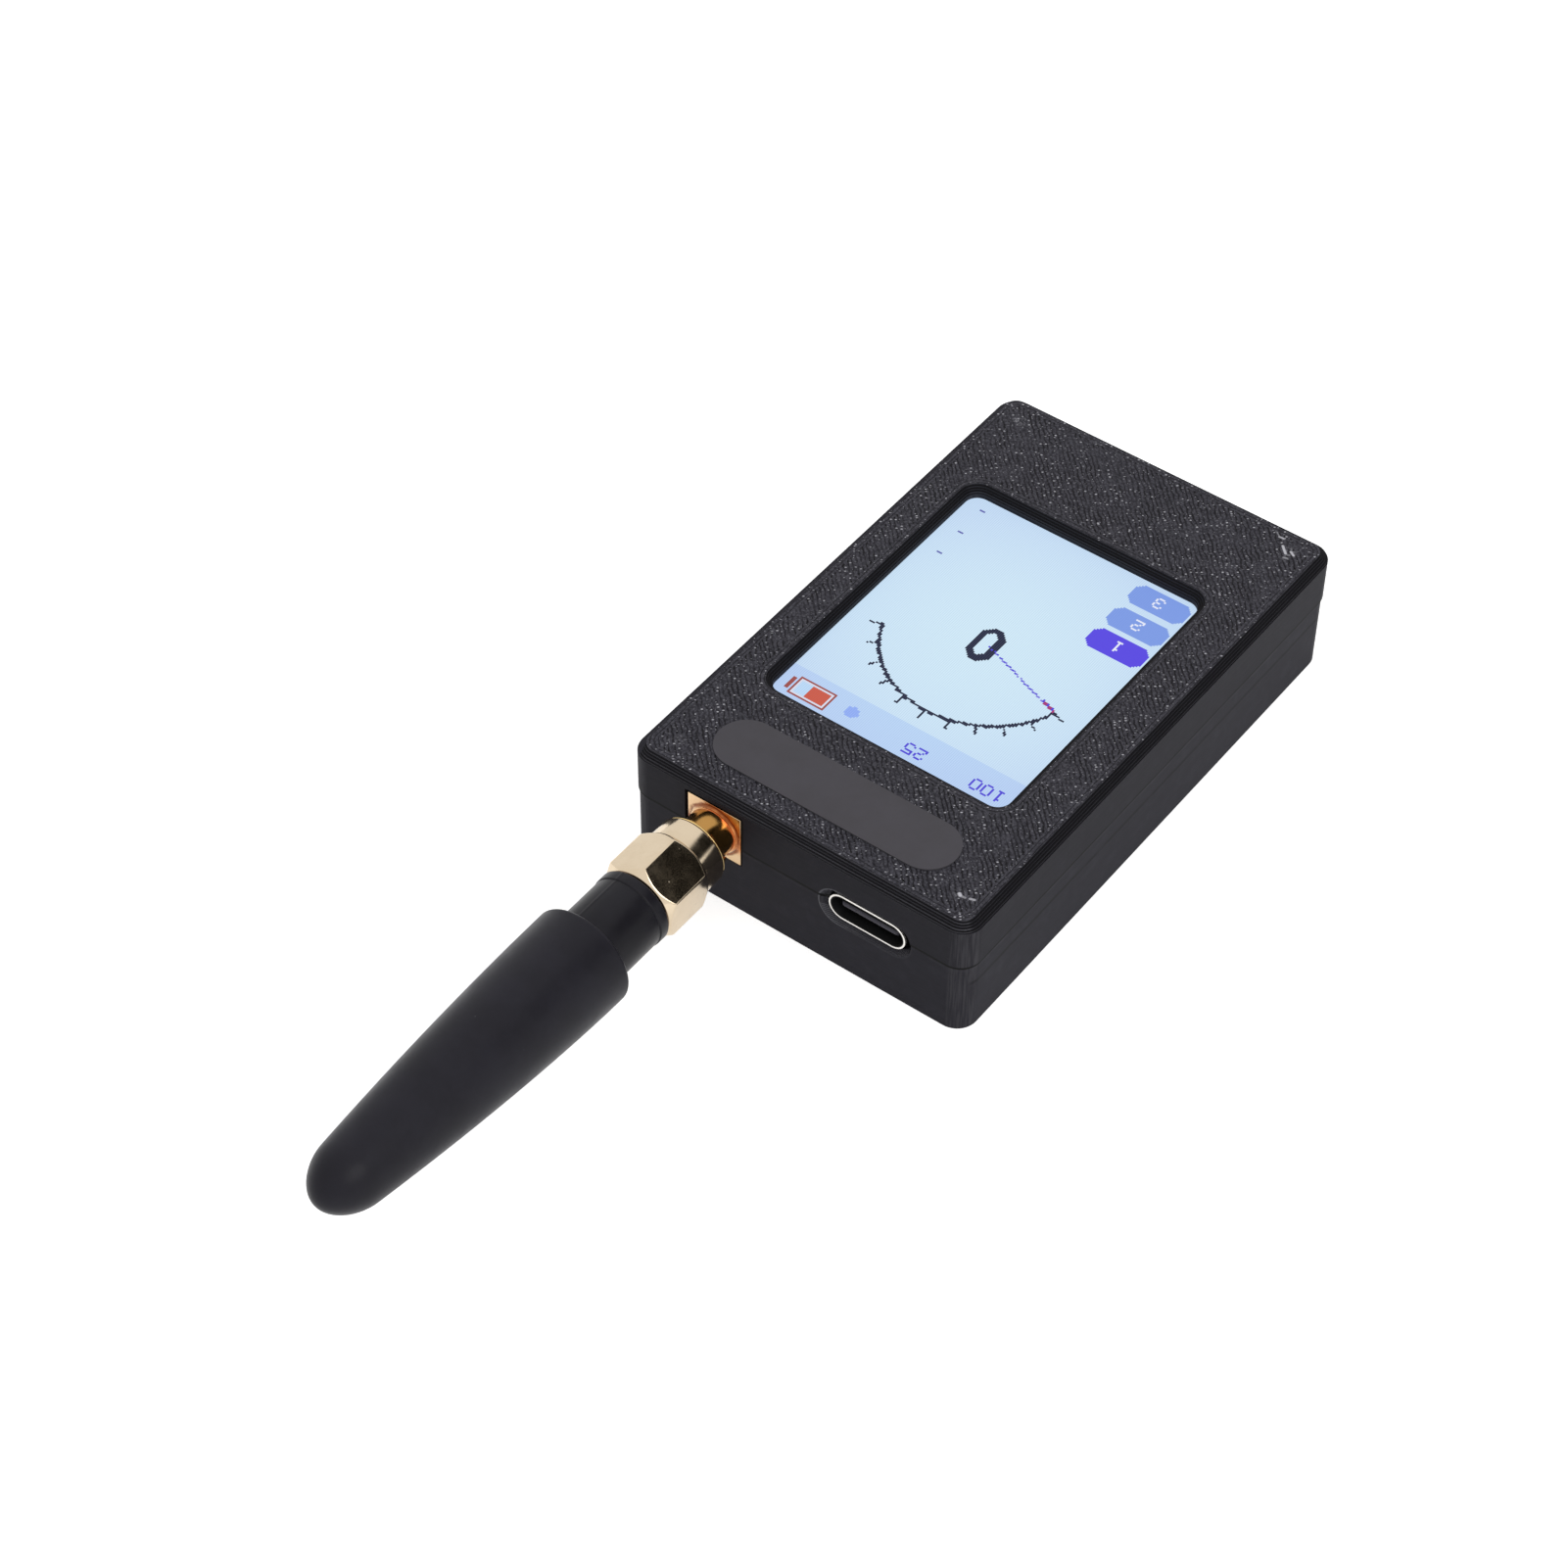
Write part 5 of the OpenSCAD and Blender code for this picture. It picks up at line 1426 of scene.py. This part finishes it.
def build_nut():
    """Six sides of 60 degrees, each with its columns at offsets above -30 and up to 30 degrees."""
    steps = [*CORNER_STEPS, *(FACE_STEP * i for i in range(1, 13))]
    offsets = sorted({s for step in steps for s in (step, -step)} - {-30.0})
    columns = [(HEX_TURN + 60 * side + offset, offset) for side in range(6) for offset in offsets]
    points, faces = [], []
    for angle, offset in columns:
        turn = math.radians(angle)
        for radius, distance in nut_outline(hex_radius(offset)):
            points.append((radius * math.cos(turn) * MM, radius * math.sin(turn) * MM,
                           distance * MM))
    high = len(points) // len(columns)
    for i in range(len(columns)):
        after = (i + 1) % len(columns)
        for j in range(high):
            k = (j + 1) % high
            faces.append((i * high + j, after * high + j, after * high + k, i * high + k))
    mesh = bpy.data.meshes.new("coupling_nut_turned")
    mesh.from_pydata(points, [], faces)
    return settle(mesh, sharp=38)


nut = build_nut()
nut.transform(ALONG_ANTENNA)
place_piece("nut_body", nut, PLATE, "nut", "gold_plate", "coupling_nut")

# %% [markdown]
# ## Rolled threads
# A thread is one profile swept along a helix: a Spiral curve, a trapezoid for the ridge, Curve to
# Mesh. The socket wears a fine one, and the case screws below wear a coarse one.

# %% A tree that sweeps a thread ridge
def thread_tree():
    tree, w, source, end = new_geometry_tree("swept_thread", {
        "Radius": ("Float", 1.0), "Ridge Height": ("Float", 0.3), "Pitch": ("Float", 0.7),
        "Turns": ("Float", 8.0), "Steps": ("Int", 64), "Material": ("Material", None)})
    height = w.times(source["Pitch"], source["Turns"])
    path = w.shape("CurveSpiral", {
        "Resolution": source["Steps"], "Rotations": source["Turns"],
        "Start Radius": source["Radius"], "End Radius": source["Radius"],
        "Height": height})
    path = w.shape("SetCurveNormal", {"Curve": path}, mode="Z_UP")
    ridge = w.shape("CurvePrimitiveQuadrilateral", {
        "Height": w.times(source["Ridge Height"], 2.0),
        "Bottom Width": w.times(source["Pitch"], 1.5),
        "Top Width": w.times(source["Pitch"], 0.12), "Offset": 0.0},
        mode="TRAPEZOID")
    turned = w.shape("Transform", {"Geometry": ridge, "Rotation": (0, 0, math.radians(-90))})
    swept = w.shape("CurveToMesh", {"Curve": path, "Profile Curve": turned, "Fill Caps": True})
    finish_tree(w, swept, source["Material"], end)
    return tree


THREAD_TREE = thread_tree()
print("thread tree has", len(THREAD_TREE.nodes), "nodes")

# %% [markdown]
# The socket's ridge runs along the straight part of its barrel. Its pitch is the way that the nut
# travels in one turn, so the thread that comes to light when the nut unscrews is the right one.

# %% Put the thread on the socket
SOCKET_PITCH, ROOT_R, RIDGE_H = 0.7056, 2.8, 0.3
THREAD_START, THREAD_STOP = 2.65, 9.1

thread = grow("socket_thread", THREAD_TREE, bpy.data.meshes.new("start"), {
    "Radius": ROOT_R * MM, "Ridge Height": RIDGE_H * MM, "Pitch": SOCKET_PITCH * MM,
    "Turns": (THREAD_STOP - THREAD_START) / SOCKET_PITCH, "Material": SOCKET_PLATE})
settle(thread, sharp=30)
thread.transform(ALONG_ANTENNA @ Matrix.Translation((0, 0, THREAD_START * MM)))
place_piece("socket_thread", thread, SOCKET_PLATE, "case", "gold_plate")
spread = [math.hypot(v.co.x / MM - axis_x, v.co.z / MM - axis_z) for v in thread.vertices]
print(f"  radius {min(spread):.2f} to {max(spread):.2f} mm")

# %% [markdown]
# ## Antenna socket
# The socket's square flange, its barrel and its four legs are one casting, so they are joined with
# an exact Boolean and bored through. The flange is bevelled first, which is simpler than bevelling
# the finished union.

# %% Cast and bore the socket
def bevelled_box(low, high, width):
    work = bmesh.new()
    bmesh.ops.create_cube(work, size=1.0)
    for vertex in work.verts:
        vertex.co = Vector([(a + b) / 2 + (b - a) * c
                            for a, b, c in zip(low, high, vertex.co)]) * MM
    if width:
        bmesh.ops.bevel(work, geom=work.edges, offset=width * MM, segments=3, profile=0.5,
                        affect="EDGES")
    mesh = bpy.data.meshes.new("box")
    work.to_mesh(mesh)
    work.free()
    return mesh


def carve(name, first, others):
    """Joins or subtracts closed meshes, given as (operation, mesh) pairs."""
    whole = add_object(name, first)
    tools = []
    for operation, mesh in others:
        tool = add_object("tool", mesh)
        tools.append(tool)
        step = whole.modifiers.new("step", "BOOLEAN")
        step.operation, step.solver, step.object = operation, "EXACT", tool
    mesh = evaluated_copy(whole, name)
    for tool in tools:
        bpy.data.objects.remove(tool)
    return mesh


barrel = soften((
    (0, -0.5), (2.95, -0.5), (2.95, 0), (2.75, 0.2), (2.6, 0.2), (2.6, 2.4), (2.8, 2.6),
    (2.8, 9.15), (2.6, 9.4), (0, 9.4)), 0.04, closed=False)
bore = ((0, -3), (2.07, -3), (2.07, 7.42), (2.33, 7.42), (2.33, 9.3), (2.43, 9.4), (2.43, 11),
        (0, 11))
FLANGE_HALF, FLANGE_T, FLANGE_EDGE = 3.175, 1.7, 0.07
LEG_HALF, LEG_X, LEG_FROM, LEG_END = 0.5, 2.675, -1.6, -6.2
flange = bevelled_box((-FLANGE_HALF, -FLANGE_HALF, -FLANGE_T), (FLANGE_HALF, FLANGE_HALF, 0),
                      FLANGE_EDGE)
legs = [bevelled_box((x - LEG_HALF, y - LEG_HALF, LEG_END), (x + LEG_HALF, y + LEG_HALF, LEG_FROM),
                     0.0) for x in (-LEG_X, LEG_X) for y in (0.1, 2.1)]
socket = carve("socket_body", flange, [
    ("UNION", turned("barrel", barrel, SOCKET_PLATE, closed=False)),
    *(("UNION", leg) for leg in legs),
    ("DIFFERENCE", turned("bore", bore, SOCKET_PLATE, closed=False))])
settle(socket)
socket.transform(ALONG_ANTENNA)
place_piece("socket_body", socket, SOCKET_PLATE, "case", "gold_plate", "antenna_jack")

# %% [markdown]
# ## Soft edges on the small pieces
# A merged copy of a CAD mesh takes a Bevel modifier well. The port's shell, its tongue, the switch
# knob and the button get edges that are a few hundredths of a millimetre round.

# %% Bevel copies of the CAD meshes
PORT_HALF_W, PORT_HALF_H = 4.47, 1.6


def softened(node, width):
    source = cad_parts[node]
    work = bmesh.new()
    work.from_mesh(source.data)
    work.transform(source.matrix_world)
    bmesh.ops.remove_doubles(work, verts=work.verts, dist=0.001 * MM)
    bmesh.ops.dissolve_limit(work, angle_limit=math.radians(1), verts=work.verts,
                             edges=work.edges)
    mesh = bpy.data.meshes.new(node + "_soft")
    work.to_mesh(mesh)
    work.free()
    thing = add_object(node + "_soft", mesh)
    bevel = thing.modifiers.new("bevel", "BEVEL")
    bevel.width, bevel.segments, bevel.limit_method = width * MM, 2, "ANGLE"
    bevel.angle_limit = math.radians(40)
    return settle(evaluated_copy(thing, node + "_soft"))


def shell_material():
    """Steel that turns black inside the port, where nothing lights it."""
    material, w, shader, place = new_material("port_rim", Specular_IOR_Level=0.2)
    handling = use_group(w, HANDLING, Place=place, Film_Size=0.5)
    x, y, z = w.split(place)
    outline = use_group(w, ROUNDED_BOX, Place=w.join(x, z, 0.0), Centre_X=port_x, Centre_Y=port_z,
                        Half_Width=PORT_HALF_W, Half_Length=PORT_HALF_H, Radius=PORT_HALF_H)
    deep = w.fade(outline["Distance"], -0.22, -0.16)
    deep = w.larger(deep, w.smooth(y, front_y + 0.10, front_y + 0.22))
    bright = w.tint(handling["Film"], srgb(246, 243, 238), srgb(236, 232, 226))
    w.plug(w.tint(deep, bright, srgb(7, 7, 8)), shader.inputs["Base Color"])
    w.plug(w.smooth(deep, 0.0, 1.0, 0.22, 0.6), shader.inputs["Roughness"])
    w.plug(w.fade(deep, 0.0, 1.0), shader.inputs["Metallic"])
    bump(w, shader, w.noise(place, 3.0, 3.0), 0.002)
    return material


def tongue_material():
    """Dark moulding with painted light on its front face."""
    material, w, shader, place = new_material(
        "port_tongue_plastic", Roughness=0.4, Specular_IOR_Level=0.2)
    grain = w.noise(place, 3.0, 3.0)
    front = w.fade(w.split(w.normal())[1], -0.8, -0.5)
    # Painted light on the tongue's front face; its other faces keep the dark moulding's colour.
    painted_front_light = w.tint(grain, srgb(70, 68, 76), srgb(84, 82, 92))
    w.plug(w.tint(front, w.tint(grain, srgb(14, 14, 16), srgb(20, 20, 22)), painted_front_light),
           shader.inputs["Base Color"])
    bump(w, shader, grain, 0.002)
    return material


CONTROLS = MOULDED["control_plastic"]
for node, width, material, body, slot in (
        ("port_shell", 0.06, shell_material(), "case", "port_steel"),
        ("port_tongue", 0.05, tongue_material(), "case", "port_plastic"),
        ("power_slider", 0.08, CONTROLS, "slider", "control_plastic"),
        ("select_button", 0.10, CONTROLS, "button", "control_plastic")):
    place_piece(node + "_soft", softened(node, width), material, body, slot, node)

# %% [markdown]
# ## Contacts in the port
# Twelve gold pads lie on each side of the tongue, half a millimetre apart: one box on a line of
# points, twice.

# %% A row of pads by instances
def pads_tree():
    tree, w, source, end = new_geometry_tree("pad_rows", {
        **lengths(Pitch=0.5, Width=0.25, Length=2.2, Thickness=0.04, Row_Gap=0.7),
        "Count": ("Int", 12), "Material": ("Material", None)})
    pad = w.shape("MeshCube", {"Size": w.join(
        source["Width"], source["Length"], source["Thickness"])})
    half_row = w.times(w.times(w.minus(source["Count"], 1.0), 0.5), source["Pitch"])
    rows = []
    for side in (-0.5, 0.5):
        start = w.join(w.times(half_row, -1.0), 0.0, w.times(source["Row Gap"], side))
        row = w.shape("MeshLine", {
            "Count": source["Count"], "Start Location": start,
            "Offset": w.join(source["Pitch"], 0.0, 0.0)}, mode="OFFSET")
        rows.append(w.shape("InstanceOnPoints", {"Points": row, "Instance": pad}))
    finish_tree(w, w.joined(*rows), source["Material"], end)
    return tree


PADS_FROM_BACK = 2.1
pads = grow("port_pads", pads_tree(), bpy.data.meshes.new("start"), {"Material": WARM_PLATE})
pads.transform(Matrix.Translation(Vector((port_x, tongue_low.y + PADS_FROM_BACK, port_z)) * MM))
place_piece("port_pads", pads, WARM_PLATE, "case", "gold_plate")

# %% [markdown]
# ## Case screws
# One screw is turned, gets a cross recess by Boolean and a swept thread, and is instanced on the
# four points of the start mesh. All of that is one tree, so the screw's size is a few inputs.

# %% Grow the four screws
THREAD_UNDER_HEAD = 2.1


def screws_tree(lathe, thread):
    tree, w, source, end = new_geometry_tree("cross_head_screws", {
        **lengths(Recess_Width=2.1, Recess_Slot=0.45, Recess_Depth=0.75, Core_Radius=0.8,
                  Thread_Height=0.2, Thread_Pitch=0.8),
        "Thread Turns": ("Float", 10.0), "Outline": ("Object", None),
        "Material": ("Material", None)})
    shape = w.node("GeometryNodeObjectInfo", {"Object": source["Outline"]}).outputs["Geometry"]
    outline = w.shape("MeshToCurve", {"Mesh": shape})
    body = w.shape("Group", {"Geometry": outline, "Sides": 64}, node_tree=lathe)
    depth = w.times(source["Recess Depth"], 2.0)
    wings = [w.shape("MeshCube", {"Size": w.join(a, b, depth)})
             for a, b in ((source["Recess Width"], source["Recess Slot"]),
                          (source["Recess Slot"], source["Recess Width"]))]
    cut = w.node("GeometryNodeMeshBoolean", {"Mesh 1": body}, operation="DIFFERENCE",
                 solver="EXACT")
    for wing in wings:
        w.plug(wing, cut.inputs["Mesh 2"])
    ridge = w.shape("Group", {
        "Radius": source["Core Radius"], "Ridge Height": source["Thread Height"],
        "Pitch": source["Thread Pitch"], "Turns": source["Thread Turns"], "Steps": 32},
        node_tree=thread)
    ridge = w.shape("Transform", {"Geometry": ridge, "Translation": (0, 0, THREAD_UNDER_HEAD * MM)})
    placed = w.shape("InstanceOnPoints", {
        "Points": source["Geometry"], "Instance": w.joined(cut.outputs[0], ridge)})
    finish_tree(w, placed, source["Material"], end)
    return tree


HEAD_Z = 0.9
screw_outline = soften((
    (0, 0), (1.55, 0), (SCREW_HEAD_R, 0.35), (SCREW_HEAD_R, 1.3), (0.8, 1.3), (0.8, 10.2),
    (0.25, 10.8), (0, 10.8)), 0.08, closed=False)
pattern = add_object("screw_outline", outline_mesh(screw_outline, closed=False))
posts = bpy.data.meshes.new("posts")
posts.from_pydata([(x * screw_x * MM, y * screw_y * MM, HEAD_Z * MM)
                   for x in (-1, 1) for y in (-1, 1)], [], [])
screws = grow("cross_screws", screws_tree(LATHE, THREAD_TREE), posts, {
    "Outline": pattern, "Material": SCREW_BLACK})
bpy.data.objects.remove(pattern)
place_piece("cross_screws", settle(screws), SCREW_BLACK, "case", "screw_black", "case_screws")
